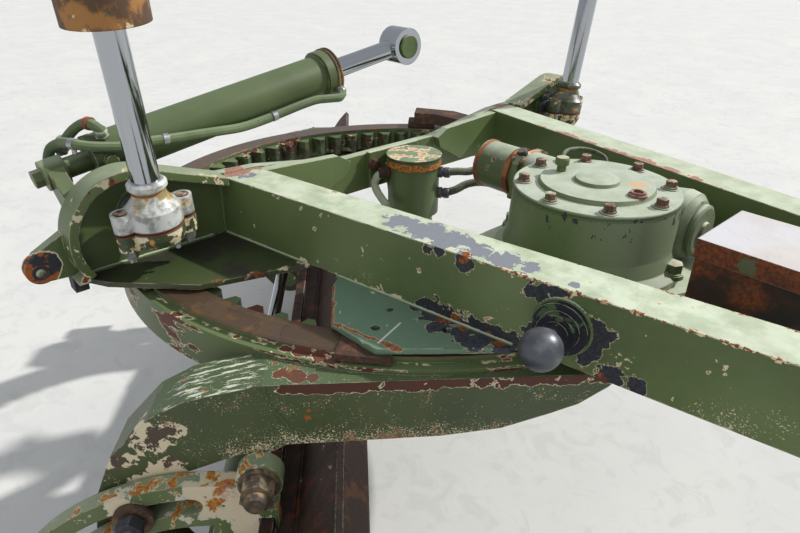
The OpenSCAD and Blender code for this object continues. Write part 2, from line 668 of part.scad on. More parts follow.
module arc_band(r, half, a0, a1) {
    difference() {
        circle(r = r + half, $fn = 128);
        circle(r = r - half, $fn = 128);
        rotate(a0 - 180) translate([-far, 0]) square([2 * far, far]);
        rotate(a1) translate([-far, 0]) square([2 * far, far]);
    }
}
module pitch_bracket(side) color(green) on_circle() mirror_side(side) {
    y0 = side_arm_out + 6;
    difference() {
        side_plate(y0, y0 + pitch_plate_t) difference() {
            union() {
                translate([-pivot_back, -pivot_down]) {
                    arc_band(slot_r, 50, ear_angle + 4, 142);
                    rotate(ear_angle) translate([ear_r, 0]) circle(r = 42);
                    circle(r = 70);
                    polygon([[-60, 30], [40, -60], [115, -60], [115, 360], [140, 420], [40, 420]]);
                }
                for (r = rails) translate([r[0] - 25, r[1] - 57]) square([60, 114]);
            }
            translate([-pivot_back, -pivot_down]) {
                arc_band(slot_r, slot_half, slot_ends[0], slot_ends[1]);
                for (a = slot_ends) rotate(a) translate([slot_r, 0]) circle(r = slot_half - 1);
            }
            for (r = rails) {
                translate([r[0] - jaw_gap, r[1] - rail_half - jaw_gap])
                    square([rail_head + 2 * jaw_gap, 2 * (rail_half + jaw_gap)]);
                translate([r[0], r[1] - rail_neck - jaw_gap]) square([far, 2 * (rail_neck + jaw_gap)]);
            }
            if (side < 0) translate([shift_x, shift_z]) circle(r = shift_r + seat);
        }
    }
    translate([-pivot_back, 0, -pivot_down]) rod_y(side_arm_out - side_arm_t - 10, y0, pivot_pin_r);
}

shift_x = -425;
shift_z = -400;
shift_lug_y = 420;
shift_rod_r = 20;
shift_ends = [-910, -100];  // the barrel's two ends, from the centre line
shift_wall = 30;    // thickness of its end walls
shift_piston = -540;
module blade_shift_barrel() color(green) on_circle() translate([shift_x, 0, shift_z]) difference() {
    rod_y(shift_ends[0], shift_ends[1], shift_r);
    rod_y(shift_ends[0] + shift_wall, shift_ends[1] - shift_wall, shift_r - 8);
    rod_y(shift_ends[1] - shift_wall - 1, shift_ends[1] + 1, shift_rod_r + run_gap);
}
module blade_shift_rod() color(chrome) on_circle() {
    translate([shift_x, 0, shift_z]) {
        rod_y(shift_piston, shift_piston + 25, shift_r - 8 - run_gap);
        rod_y(shift_piston + 25, shift_lug_y, shift_rod_r);
    }
    difference() {
        side_plate(shift_lug_y, shift_lug_y + 30) union() {
            translate([shift_x, shift_z]) circle(r = 36);
            translate([shift_x, shift_z - 36]) square([-shift_x - 250, 66]);
        }
        translate([blade_x, 0, blade_z]) rod_y(0, far, blade_r + blade_t + seat);
    }
}

// Blade

blade_top = 133;    // angles of the blade's curve about its centre
blade_low = 215;
edge_seat = 65;     // flat strip below the curve, where the cutting edges sit
module blade_curve(r0, r1, a0, a1) translate([blade_x, blade_z]) difference() {
    intersection() {
        circle(r = r1, $fn = 128);
        polygon([[0, 0], 2 * r1 * [cos(a0), sin(a0)], 2 * r1 * [-1, 0], 2 * r1 * [cos(a1), sin(a1)]]);
    }
    circle(r = r0, $fn = 128);
}
module moldboard() color(brown) on_circle() side_plate(-blade_len / 2, blade_len / 2) {
    blade_curve(blade_r, blade_r + blade_t, blade_top, blade_low);
    translate([blade_x, blade_z]) rotate(blade_low) translate([blade_r, -0.5]) square([blade_t, edge_seat]);
}

rail_len = 2940;
module slide_rails() color(green) on_circle() difference() {
    side_plate(-rail_len / 2, rail_len / 2) for (r = rails) {
        translate([r[0], r[1] - rail_half]) square([rail_head, 2 * rail_half]);
        translate([r[0], r[1] - rail_neck]) square([100, 2 * rail_neck]);
    }
    translate([blade_x, 0, blade_z]) rod_y(-far, far, blade_r + blade_t + seat);
}

end_bit_len = 220;
// an edge plate, bevelled at its foot, bolted to the front of the blade's flat strip
module edge_plate(y0, y1, h) {
    back = blade_r - seat;
    side_plate(y0, y1) translate([blade_x, blade_z]) rotate(blade_low)
        polygon([[back, 2], [back, h - edge_t], [back - edge_t, h], [back - edge_t, 2]]);
}
module cutting_edge(side) color(rust) on_circle() mirror_side(side)
    edge_plate(seat / 2, blade_len / 2 - end_bit_len - seat, edge_h);
module end_bit(side) color(rust) on_circle() mirror_side(side)
    edge_plate(blade_len / 2 - end_bit_len, blade_len / 2 + 12, edge_h + 12);

drawbar_arm(-1);  // drawbar_arm_right
drawbar_arm(1);  // drawbar_arm_left
cross_plate();
wing(-1);  // wing_right
wing(1);  // wing_left
rear_plate(-1);  // rear_plate_right
rear_plate(1);  // rear_plate_left
shoe_plate(-1);  // shoe_plate_right
shoe_plate(1);  // shoe_plate_left
guide_shoes();
hold_down_clips();
gearbox_deck();
nose_beam();
nose_block();
nose_ball_stud();
gearbox_housing();
gearbox_cover();
worm_end_cover();
motor_flange();
drive_motor();
swivel_upper();
swivel_bracket();
lift_ball(-1);  // lift_ball_right
lift_ball(1);  // lift_ball_left
spare_ball();
side_shift_lug();
drive_hoses();
drive_pinion();
circle_ring();
circle_arm(-1);  // circle_arm_right
circle_arm(1);  // circle_arm_left
swivel_bar();
pitch_studs();
pitch_bracket(-1);  // pitch_bracket_right
pitch_bracket(1);  // pitch_bracket_left
blade_shift_barrel();
moldboard();
slide_rails();
cutting_edge(-1);  // cutting_edge_right
cutting_edge(1);  // cutting_edge_left
end_bit(-1);  // end_bit_right
end_bit(1);  // end_bit_left
blade_shift_rod();
lift_rod(-1);  // lift_rod_right
lift_rod(1);  // lift_rod_left
lift_barrel(-1);  // lift_barrel_right
lift_barrel(1);  // lift_barrel_left
side_shift_barrel();
side_shift_hoses();
side_shift_rod();
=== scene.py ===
import json
import math
import random

import bmesh
import bpy
from mathutils import Matrix, Vector


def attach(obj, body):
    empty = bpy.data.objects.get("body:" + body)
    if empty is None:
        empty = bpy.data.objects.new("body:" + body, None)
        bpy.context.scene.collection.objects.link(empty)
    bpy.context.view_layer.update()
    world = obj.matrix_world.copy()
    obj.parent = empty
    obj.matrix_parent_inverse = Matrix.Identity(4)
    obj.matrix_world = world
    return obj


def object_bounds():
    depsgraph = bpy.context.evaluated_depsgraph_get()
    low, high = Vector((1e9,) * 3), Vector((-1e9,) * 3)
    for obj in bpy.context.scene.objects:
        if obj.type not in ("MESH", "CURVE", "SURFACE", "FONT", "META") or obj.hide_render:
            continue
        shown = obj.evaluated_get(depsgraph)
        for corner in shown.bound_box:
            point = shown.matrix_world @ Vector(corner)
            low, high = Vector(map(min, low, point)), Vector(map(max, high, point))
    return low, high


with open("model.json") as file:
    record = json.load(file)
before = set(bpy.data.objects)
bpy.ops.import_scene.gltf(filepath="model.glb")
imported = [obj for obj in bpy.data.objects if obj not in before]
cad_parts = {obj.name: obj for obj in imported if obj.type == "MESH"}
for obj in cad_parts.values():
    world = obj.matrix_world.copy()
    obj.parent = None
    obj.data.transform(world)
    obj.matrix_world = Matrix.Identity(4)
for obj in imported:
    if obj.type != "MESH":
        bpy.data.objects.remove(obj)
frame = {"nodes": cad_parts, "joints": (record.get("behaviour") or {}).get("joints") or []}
cad_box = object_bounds()
nodes = frame["nodes"]
joints = {joint["name"]: joint for joint in frame["joints"]}
random.seed(7)

# Places, from the frame
RING = Vector(joints["circle_turn"]["pos_m"])
PINION = Vector(joints["pinion_spin"]["pos_m"])
PITCH_AXIS = Vector(joints["blade_pitch"]["axis"])
TURN = math.atan2(-PITCH_AXIS.x, PITCH_AXIS.y)
LIFT_BALL = {
    -1: Vector(joints["lift_swing_right"]["pos_m"]),
    1: Vector(joints["lift_swing_left"]["pos_m"]),
}
SHIFT_BALL = Vector(joints["side_shift_swing"]["pos_m"])
SHIFT_SLOPE = math.radians(9.5)
ARM_ANGLE = math.radians(10.9)
LIFT_LEAN = math.radians(3.9)
LIFT_FORE = math.radians(3.1)
MM = 0.001
UP = Vector((0, 0, 1))
SIDES = {-1: "right", 1: "left"}

# Places and sizes on the part in millimetres: x, y, z as in ring() and u, w, z as in turned()
ARMS_MEET_X = 2400
ARM_HALF_WIDTH = 47.86
ARM_TOP = 158
PLATE_TOP = 18
ARM_BACK_X = -94
COVER_TOP = 192
DISC_TOP = 201
BOLT_CIRCLE = 151
BOLT_TURN = -4
MOTOR_Y = 125
MOTOR_Z = 112
PORT_RADIUS = 11
SWIVEL_RADIUS = 70.8
SPARE_BALL = (740, -368, 90)
CIRCLE_RADIUS = 781
CIRCLE_ARM_W = 795
BRACKET_FACE_W = 837
CAP_EAR = 63
STUD = (-568.7, -274.8)
SLOT_BOLT = (-341.9, -206.3)
PITCH_PIN = (-450, -640)
BLADE_CENTRE = (62, -510)
BLADE_LOW = math.radians(215)
BLADE_BACK = 394
EDGE_FRONT = 355.7
EDGE_BOLT_DROP = 34
EDGE_BOLTS = 23
EDGE_BOLT_PITCH = 152.4
RAIL_HEIGHTS = (-330, -640)
RAIL_HALF_LENGTH = 1468


def ring(x, y, z):
    """A point given in millimetres from the circle's centre, on the drawbar's axes."""
    return RING + Vector((x, y, z)) * MM


def turned(u, w, z):
    """A point given in millimetres from the circle's centre, on the turned circle's own axes."""
    return RING + Matrix.Rotation(TURN, 3, "Z") @ Vector((u, w, z)) * MM


def turned_way(u, w, z=0):
    """A direction on the turned circle's own axes."""
    return Matrix.Rotation(TURN, 3, "Z") @ Vector((u, w, z))


def sloped_way(x, t, z):
    """A direction on the side shift cylinder's own axes."""
    return Matrix.Rotation(SHIFT_SLOPE, 3, "X") @ Vector((x, t, z))


def sloped(x, t, z):
    """A point given in millimetres from the side shift ball, t along its cylinder."""
    return SHIFT_BALL + sloped_way(x, t, z) * MM


def lifted_way(side, x, y, z):
    """A direction on a lift cylinder's own axes, y outward."""
    way = Matrix.Rotation(LIFT_FORE, 3, "Y") @ Matrix.Rotation(-LIFT_LEAN, 3, "X") @ Vector((x, y, z))
    return Vector((way.x, way.y * side, way.z))


def lifted(side, x, y, z):
    """A point given in millimetres from a lift ball, z along its cylinder and y outward."""
    return LIFT_BALL[side] + lifted_way(side, x, y, z) * MM


# Camera, at the photograph's place
CAMERA_PLACE = Vector((-1.2136, -1.1451, 0.5655))
CAMERA_YAW = math.radians(137.21)
CAMERA_PITCH = math.radians(28.09)
CAMERA_ROLL = math.radians(0.76)
CAMERA_LENS = 28.05


def make_camera():
    level = Vector((math.cos(CAMERA_YAW), math.sin(CAMERA_YAW), 0))
    ahead = level * math.cos(CAMERA_PITCH) - UP * math.sin(CAMERA_PITCH)
    right = Matrix.Rotation(-CAMERA_ROLL, 3, ahead) @ ahead.cross(UP).normalized()
    up = right.cross(ahead)
    data = bpy.data.cameras.new("camera")
    data.lens = CAMERA_LENS
    data.clip_start = 0.02
    data.clip_end = 200
    camera = bpy.data.objects.new("camera", data)
    camera.matrix_world = Matrix(
        (
            (right.x, up.x, -ahead.x, CAMERA_PLACE.x),
            (right.y, up.y, -ahead.y, CAMERA_PLACE.y),
            (right.z, up.z, -ahead.z, CAMERA_PLACE.z),
            (0, 0, 0, 1),
        )
    )
    bpy.context.scene.collection.objects.link(camera)
    bpy.context.scene.camera = camera


make_camera()


class Value:
    """A shader socket on which Python's arithmetic adds Math nodes."""

    def __init__(self, surface, socket):
        self.surface = surface
        self.socket = socket

    def maths(self, operation, first, second=0.0, clamp=False):
        settings = {"operation": operation, "use_clamp": clamp}
        return self.surface.node("ShaderNodeMath", settings, {0: first, 1: second})

    def __add__(self, other):
        return self.maths("ADD", self, other)

    def __sub__(self, other):
        return self.maths("SUBTRACT", self, other)

    def __rsub__(self, other):
        return self.maths("SUBTRACT", other, self)

    def __mul__(self, other):
        return self.maths("MULTIPLY", self, other)

    def __or__(self, other):
        return self.maths("MAXIMUM", self, other)

    def __and__(self, other):
        return self.maths("MINIMUM", self, other)

    __radd__ = __add__
    __rmul__ = __mul__

    def size(self):
        return self.maths("ABSOLUTE", self)

    def clamped(self):
        return self.maths("ADD", self, 0.0, clamp=True)

    def rise(self, low, high):
        """0 under low, 1 over high and a smooth step between."""
        return self.surface.node(
            "ShaderNodeMapRange",
            {"interpolation_type": "SMOOTHSTEP"},
            {"Value": self, "From Min": low, "From Max": high},
        )

    def within(self, low, high, soft):
        """1 between two values and 0 outside, with soft steps."""
        return self.rise(low - soft, low) * (1 - self.rise(high, high + soft))

    def blend(self, low, high, first, second):
        """The first colour under low, the second over high."""
        return self.surface.mix(self.rise(low, high), first, second)


class Surface:
    """One material: what shows so far is in colour, rough and height, and each layer goes over it."""

    def __init__(self, name, rounding=0.003):
        self.material = bpy.data.materials.new(name)
        self.material.use_nodes = True
        self.tree = self.material.node_tree
        self.tree.nodes.clear()
        self.shader = self.tree.nodes.new("ShaderNodeBsdfPrincipled")
        output = self.tree.nodes.new("ShaderNodeOutputMaterial")
        self.tree.links.new(self.shader.outputs[0], output.inputs[0])
        self.place = self.node("ShaderNodeTexCoord", output="Object")
        self.x, self.y, self.z = self.parts_of(self.place)
        self.rounded = self.node("ShaderNodeBevel", {"samples": 4}, {"Radius": rounding})
        self.flat = self.node("ShaderNodeNewGeometry", output="Normal")
        self.facing = self.parts_of(self.flat)
        # 1 on faces that look up, and 1 on the others
        self.up = self.facing[2].rise(0.55, 0.95)
        self.side = 1 - self.up

    def parts_of(self, vector):
        made = self.node("ShaderNodeSeparateXYZ", inputs={0: vector}).socket.node
        return [Value(self, socket) for socket in made.outputs]

    def node(self, kind, settings=None, inputs=None, output=0):
        made = self.tree.nodes.new(kind)
        for key, value in (settings or {}).items():
            setattr(made, key, value)
        for key, value in (inputs or {}).items():
            self.feed(made.inputs[key], value)
        return Value(self, made.outputs[output])

    def feed(self, socket, value):
        """Links a Value to a socket, or sets the socket to a number, a vector or a colour."""
        if isinstance(value, Value):
            self.tree.links.new(value.socket, socket)
        elif hasattr(value, "__len__") and len(value) == 3 and socket.type == "RGBA":
            socket.default_value = (*value, 1)
        else:
            socket.default_value = value

    def mix(self, factor, first, second):
        """The first colour where factor is 0 and the second where it is 1."""
        return self.node(
            "ShaderNodeMix", {"data_type": "RGBA"}, {0: factor, 6: first, 7: second}, 2
        )

    def vector(self, operation, first, second=(0, 0, 0), output=0):
        settings = {"operation": operation}
        return self.node("ShaderNodeVectorMath", settings, {0: first, 1: second}, output)

    def noise(
        self, scale, detail=4.0, roughness=0.55, stretch=(1, 1, 1), shift=0.0, distortion=0.0, place=None
    ):
        place = place or self.place
        if stretch != (1, 1, 1) or shift:
            place = self.vector("MULTIPLY", self.vector("ADD", place, (shift,) * 3), stretch)
        inputs = {
            "Vector": place,
            "Scale": scale,
            "Detail": detail,
            "Roughness": roughness,
            "Distortion": distortion,
        }
        return self.node("ShaderNodeTexNoise", inputs=inputs)

    def along(self, origin, way):
        """Distance in metres from an origin along a way."""
        away = self.vector("SUBTRACT", self.place, tuple(origin))
        return self.vector("DOT_PRODUCT", away, tuple(way), output="Value")

    def away(self, point, squash=(1, 1, 1)):
        """Distance in metres from a point, the axes squashed by three factors."""
        away = self.vector("SUBTRACT", self.place, tuple(point))
        away = self.vector("MULTIPLY", away, squash)
        return self.vector("LENGTH", away, output="Value")

    def near(self, point, radius, squash=(1, 1, 1)):
        """1 at a point, falling to 0 at a radius in metres, the axes squashed by three factors."""
        return 1 - self.away(point, squash).rise(0.0, radius)

    def spots(self, at, rows):
        """The highest of several near() masks, from rows of a place for at() and a radius."""
        mask = 0.0
        for *place, radius in rows:
            mask = self.near(at(*place), radius) | mask
        return mask

    def strokes(self, radius, *rows):
        """1 along straight stretches between two places for ring(), falling to 0 at a radius in metres."""
        mask = 0.0
        for row in rows:
            start, end = ring(*row[:3]), ring(*row[3:])
            way = (end - start).normalized()
            away = self.vector("SUBTRACT", self.place, tuple(start))
            along = self.vector("DOT_PRODUCT", away, tuple(way), output="Value")
            along = (along | 0.0) & (end - start).length
            held = self.vector("SCALE", tuple(way))
            self.feed(held.socket.node.inputs["Scale"], along)
            length = self.vector("DISTANCE", away, held, output="Value")
            mask = (1 - length.rise(0.0, radius)) | mask
        return mask

    def edge(self):
        """1 along sharp edges, falling to 0 within the rounding's radius."""
        agree = self.vector("DOT_PRODUCT", self.rounded, self.flat, output="Value")
        return ((1 - agree) * 4.0).clamped()

    def crevice(self, reach):
        """1 in deep corners of this piece, within a reach in metres."""
        settings = {"samples": 4, "only_local": True}
        open_sky = self.node("ShaderNodeAmbientOcclusion", settings, {"Distance": reach}, "AO")
        return 1 - open_sky

    def cover(self, mask, colour, rough=None, height=None):
        """Lays a colour over what shows so far, where a mask is 1."""
        self.colour = self.mix(mask, self.colour, colour)
        if rough is not None:
            self.rough = self.rough + mask * rough
        if height is not None:
            self.height = self.height + mask * height

    def chip(self, level, at, colour, rim=None, width=0.012, rough=0.2, depth=-0.5):
        """Breaks the coat where level passes a height: crisp at its border, with a thin rim around."""
        if rim is not None:
            self.cover(level.rise(at - width - 0.004, at - width), rim, height=depth * 0.5)
        self.cover(level.rise(at, at + 0.006), colour, rough, depth)

    def finish(self, metallic=0.0, depth=0.0008):
        """Joins what the layers have made to the shader; depth is that of its bumps, in metres."""
        self.feed(self.shader.inputs["Base Color"], self.colour)
        self.feed(self.shader.inputs["Roughness"], self.rough)
        self.feed(self.shader.inputs["Metallic"], metallic)
        inputs = {"Strength": 1.0, "Distance": depth, "Height": self.height, "Normal": self.rounded}
        self.feed(self.shader.inputs["Normal"], self.node("ShaderNodeBump", inputs=inputs))
        return self.material


def srgb(red, green, blue):
    """A linear colour from the red, green and blue of a screen, 0 to 255."""
    return tuple(((c / 255 + 0.055) / 1.055) ** 2.4 for c in (red, green, blue))


def shade(colour, factor):
    """A colour made darker or lighter by a factor."""
    return tuple(c * factor for c in colour)


# Paints and metals of this machine
GREEN = srgb(98, 114, 70)
DEEP_GREEN = srgb(74, 90, 50)
BLUE_GREEN = srgb(98, 128, 106)
# Pale mint for the tops: dust and painted sunlight.
SUNLIT_MINT = srgb(204, 213, 190)
CREAM = srgb(212, 200, 166)
WHITE = srgb(214, 216, 212)
OCHRE = srgb(190, 138, 56)
ORANGE = srgb(168, 92, 36)
PRIMER_GREY = srgb(128, 133, 142)
PRIMER_RED = srgb(112, 56, 42)
PINK = srgb(196, 162, 146)
RUST = srgb(146, 80, 36)
DARK_RUST = srgb(84, 50, 36)
BARE = srgb(44, 48, 56)
GREASE = srgb(28, 28, 24)
# Dark olive, for painted shade in corners and under the gearbox cover's rim, and for a thin ring on the
# swivel.
DARK_OLIVE = srgb(44, 46, 34)
CHROME = srgb(168, 172, 178)
OIL = srgb(130, 122, 108)


def green_coat(
    name, tone=1.0, dust=0.85, runs=0.3, rounding=0.004, dusty=SUNLIT_MINT, green=GREEN, deep=DEEP_GREEN
):
    """Green paint with dust and painted sunlight on its top faces, painted shade in its corners and the runs
    down its sides.
    """
    s = Surface(name, rounding)
    s.wear = s.edge()
    s.broad = s.noise(3.0, 3.0)
    s.mottle = s.noise(24.0, 5.0, 0.6)
    s.fine = s.noise(180.0, 3.0, 0.5)
    s.flakes = s.noise(30.0, 9.0, 0.62, distortion=0.3)
    s.crumbs = s.noise(150.0, 3.0, 0.6)
    s.rusty = s.fine.blend(0.35, 0.65, DARK_RUST, RUST)
    s.torn = s.mottle.blend(0.5, 0.6, CREAM, s.rusty)
    s.primer = s.mix(s.fine, PINK, PRIMER_RED)
    s.colour = s.broad.blend(0.35, 0.7, shade(green, tone), shade(deep, tone))
    s.rough = s.mottle * 0.12 + 0.4
    s.height = s.fine * 0.08 + s.mottle * 0.2
    s.cover((s.mottle - 0.5).clamped() * 0.6, shade(green, tone * 1.5))
    # Top faces paled towards a light colour: dust and painted sunlight.
    top_mottle = (s.broad * 0.4 + s.mottle * 0.9 + 0.22).clamped()
    s.cover(s.up * top_mottle * dust, dusty, 0.14)
    drip = s.noise(26.0, 4.0, 0.6, (1, 1, 0.12)).rise(0.56, 0.75)
    s.cover(drip * s.side * runs * 0.5, srgb(104, 84, 52))
    # Painted shade darkens the corners.
    s.cover(s.crevice(0.05).rise(0.25, 0.9) * 0.6, DARK_OLIVE, 0.1)
    return s


def chipped_coat(name, chips=0.5, specks=0.4, edges=0.5, **coat):
    """Green paint chipped down to its cream undercoat, and to rust inside the larger chips."""
    s = green_coat(name, **coat)
    level = s.flakes + s.wear * 0.12 + (s.crumbs - 0.5) * 0.08
    s.chip(level, 0.82 - 0.13 * chips, CREAM)
    s.chip(level, 0.87 - 0.13 * chips, s.rusty)
    line = s.flakes + s.wear * 0.5
    bared = s.crumbs.blend(0.5, 0.56, s.rusty, BARE)
    line_colour = s.mottle.blend(0.48, 0.58, CREAM, bared)
    s.chip(line, 1.02 - 0.22 * edges, line_colour, depth=-0.2)
    s.cover(s.crumbs.rise(0.77 - 0.07 * specks, 0.785 - 0.07 * specks), CREAM, 0.2, -0.3)
    return s


def on_arm_top(x, y):
    """A point on the arms' top faces, as in ring()."""
    return ring(x, y, ARM_TOP)


def near_arm_paint():
    """The right arm: grey primer on its sunny top, bare steel round the spare ball's boss."""
    s = chipped_coat("near_arm_paint", 0.0, 0.0, 1.1, dust=0.97, runs=0.2, rounding=0.005)
    top_mottle = s.noise(14.0, 7.0, 0.62, shift=4.0).rise(0.46, 0.6) * s.up
    s.cover(top_mottle * 0.4, srgb(142, 158, 120))
    rows = [(369, -388, 0.075), (430, -378, 0.095), (490, -378, 0.085), (550, -376, 0.065)]
    rows += [(606, -362, 0.065), (655, -352, 0.045), (735, -345, 0.02), (-60, -480, 0.04)]
    grey = s.spots(on_arm_top, rows) * s.up
    greys = s.mix(s.fine, PRIMER_GREY, shade(PRIMER_GREY, 0.86))
    s.chip(s.flakes + grey * 0.42, 0.74, greys, WHITE, 0.008)
    rows = [(785, -359, 62, 0.06), (793, -357, 100, 0.055), (694, -376, 138, 0.045), (722, -371, 148, 0.04)]
    rows += [(826, -351, 34, 0.055), (700, -375, 60, 0.05), (870, -343, 30, 0.035)]
    rows += [(470, -411, 146, 0.03), (552, -400, 146, 0.035), (500, -405, 150, 0.03)]
    steel = s.spots(ring, rows) | s.strokes(0.05, (478, -410, 22, 660, -384, 20))
    dark = s.fine.blend(0.4, 0.6, BARE, srgb(30, 32, 38))
    s.chip(s.flakes + steel * s.side * 0.44, 0.75, dark, CREAM, 0.014)
    rows = [(540, -403, 24, 0.03), (610, -392, 22, 0.02), (548, -400, 152, 0.025), (818, -352, 26, 0.03)]
    s.chip(s.mottle + s.spots(ring, rows) * 0.4, 0.78, s.rusty, depth=-0.1)
    scraped = s.strokes(0.028, (150, -472, PLATE_TOP, 420, -422, PLATE_TOP))
    s.chip(s.flakes + scraped * 0.3, 0.76, s.torn, depth=-0.3)
    rows = [(1010, -320, 24, 0.09), (1060, -305, 60, 0.05), (330, -436, 40, 0.05), (960, -325, 30, 0.04)]
    specks = s.noise(330.0, 3.0, 0.6) + s.spots(ring, rows) * 0.17
    s.cover(specks.rise(0.74, 0.77) * s.side, CREAM, 0.1)
    edges = s.strokes(
        0.012, (560, -402, ARM_TOP, 1500, -219, ARM_TOP), (700, -278, ARM_TOP, 1500, -124, ARM_TOP)
    )
    worn = s.crumbs.blend(0.44, 0.54, CREAM, s.fine.blend(0.4, 0.6, DARK_RUST, RUST))
    s.chip(s.flakes + edges * 0.26, 0.73, worn, depth=-0.2)
    pink = s.strokes(0.035, (-92, -505, 160, -92, -430, 160)) * s.up
    s.chip(s.mottle + pink * 0.4, 0.68, s.primer, CREAM, 0.02)
    return s.finish()


def far_arm_paint():
    s = chipped_coat("far_arm_paint", 0.0, 0.2, 0.8, dust=0.9, runs=0.2, rounding=0.005, tone=0.9)
    pink = s.strokes(0.04, (120, 390, ARM_TOP, 700, 285, ARM_TOP)) * s.up
    s.chip(s.mottle + pink * 0.28, 0.74, s.primer, CREAM, 0.03)
    return s.finish()


def cross_plate_paint():
    s = chipped_coat("cross_plate_paint", 0.1, 0.25, 0.6, dust=0.7, runs=0.2)
    rows = [(-110, 476, 160, 0.06), (-110, -486, 162, 0.06), (-110, 240, 146, 0.03)]
    s.chip(s.mottle + s.spots(ring, rows) * 0.4, 0.72, s.primer, CREAM, 0.03)
    return s.finish()


def shoe_plate_paint():
    """The plates under the arms: bluish green, bare along the arm, rust on the front edge."""
    blues = {"dusty": srgb(122, 146, 126), "green": BLUE_GREEN, "deep": srgb(88, 116, 94)}
    s = chipped_coat("shoe_plate_paint", 0.3, 0.3, 0.7, dust=0.35, **blues)
    top = PLATE_TOP
    rows = [(500, -425, top, 0.05), (535, -440, top, 0.055), (570, -428, top, 0.05)]
    rows += [(455, -425, top, 0.03), (430, -470, top, 0.015), (612, -418, top, 0.06), (650, -410, top, 0.05)]
    bare = s.spots(ring, rows) | s.strokes(0.04, (470, -412, top, 665, -384, top))
    dark = s.fine.blend(0.4, 0.6, BARE, srgb(62, 66, 76))
    s.chip(s.flakes + bare * 0.44, 0.75, dark, CREAM, 0.01)
    rows = [(520, -415, top, 0.035), (565, -412, top, 0.02), (640, -400, top, 0.02)]
    s.chip(s.mottle + s.spots(ring, rows) * 0.4, 0.75, s.rusty, depth=-0.1)
    front = s.strokes(0.011, (392, -579, top, 640, -517, top), (287, -500, top, 390, -580, top))
    rust = s.fine.blend(0.35, 0.6, srgb(120, 68, 42), srgb(164, 110, 66))
    s.chip(s.flakes + front * 0.3, 0.7, rust, CREAM, 0.03)
    scratch = s.strokes(0.0035, (477, -486, top, 498, -558, top))
    s.cover(scratch.rise(0.3, 0.6), WHITE)
    return s.finish()


def wing_paint(side):
    """The ear-shaped wings: rims scraped to the undercoat, steel and orange rust round their pins."""
    s = chipped_coat("wing_paint_" + SIDES[side], 0.25, 0.3, 0.9, dust=0.4, tone=0.92)
    away = s.away(ring(-80, 745 * side, 95), (0, 1, 1))
    rim = away.within(0.118, 0.14, 0.004) * (s.x - ring(-53, 0, 0).x).rise(-0.006, -0.001)
    s.chip(s.flakes + rim * 0.1, 0.68, s.torn, depth=-0.3)
    rows = [(-70, 700, 222, 0.06), (-60, 735, 215, 0.05), (-60, 860, 90, 0.04), (-60, 868, 30, 0.04)]
    rows += [(-60, 560, 172, 0.06)]
    scraped = s.spots(lambda x, y, z: ring(x, y * side, z), rows)
    s.chip(s.flakes + scraped * 0.3, 0.74, CREAM, depth=-0.4)
    s.chip(s.flakes + scraped * 0.3, 0.8, s.rusty, depth=-0.2)
    ear = s.near(ring(-95, 930 * side, 54), 0.075)
    s.chip(s.mottle * 0.5 + ear, 0.75, s.flakes.blend(0.5, 0.56, BARE, ORANGE), CREAM, 0.05)
    return s.finish()


def rear_plate_paint():
    """The plates under the wings: darkened as painted shade under the wings, dull, scuffed to cream and rust
    along their slanted edges.
    """
    # A low tone darkens these plates as painted shade under the wings.
    s = chipped_coat("rear_plate_paint", 0.3, 0.6, 0.9, dust=0.0, tone=0.42, runs=0.5)
    s.cover(s.noise(7.0, 6.0, 0.6, shift=5.0).rise(0.42, 0.56) * 0.85, srgb(48, 44, 40), 0.1)
    slants = [(165, 470 * side, PLATE_TOP, 103, 697 * side, PLATE_TOP) for side in SIDES]
    worn = s.mottle.blend(0.48, 0.56, CREAM, s.rusty)
    s.chip(s.flakes + s.strokes(0.03, *slants) * 0.2, 0.74, worn, depth=-0.3)
    return s.finish()


def on_both(w, rows):
    """Rows of u, z and radius, set at w on both sides of the turned circle."""
    return [(u, side * w, z, radius) for side in SIDES for u, z, radius in rows]


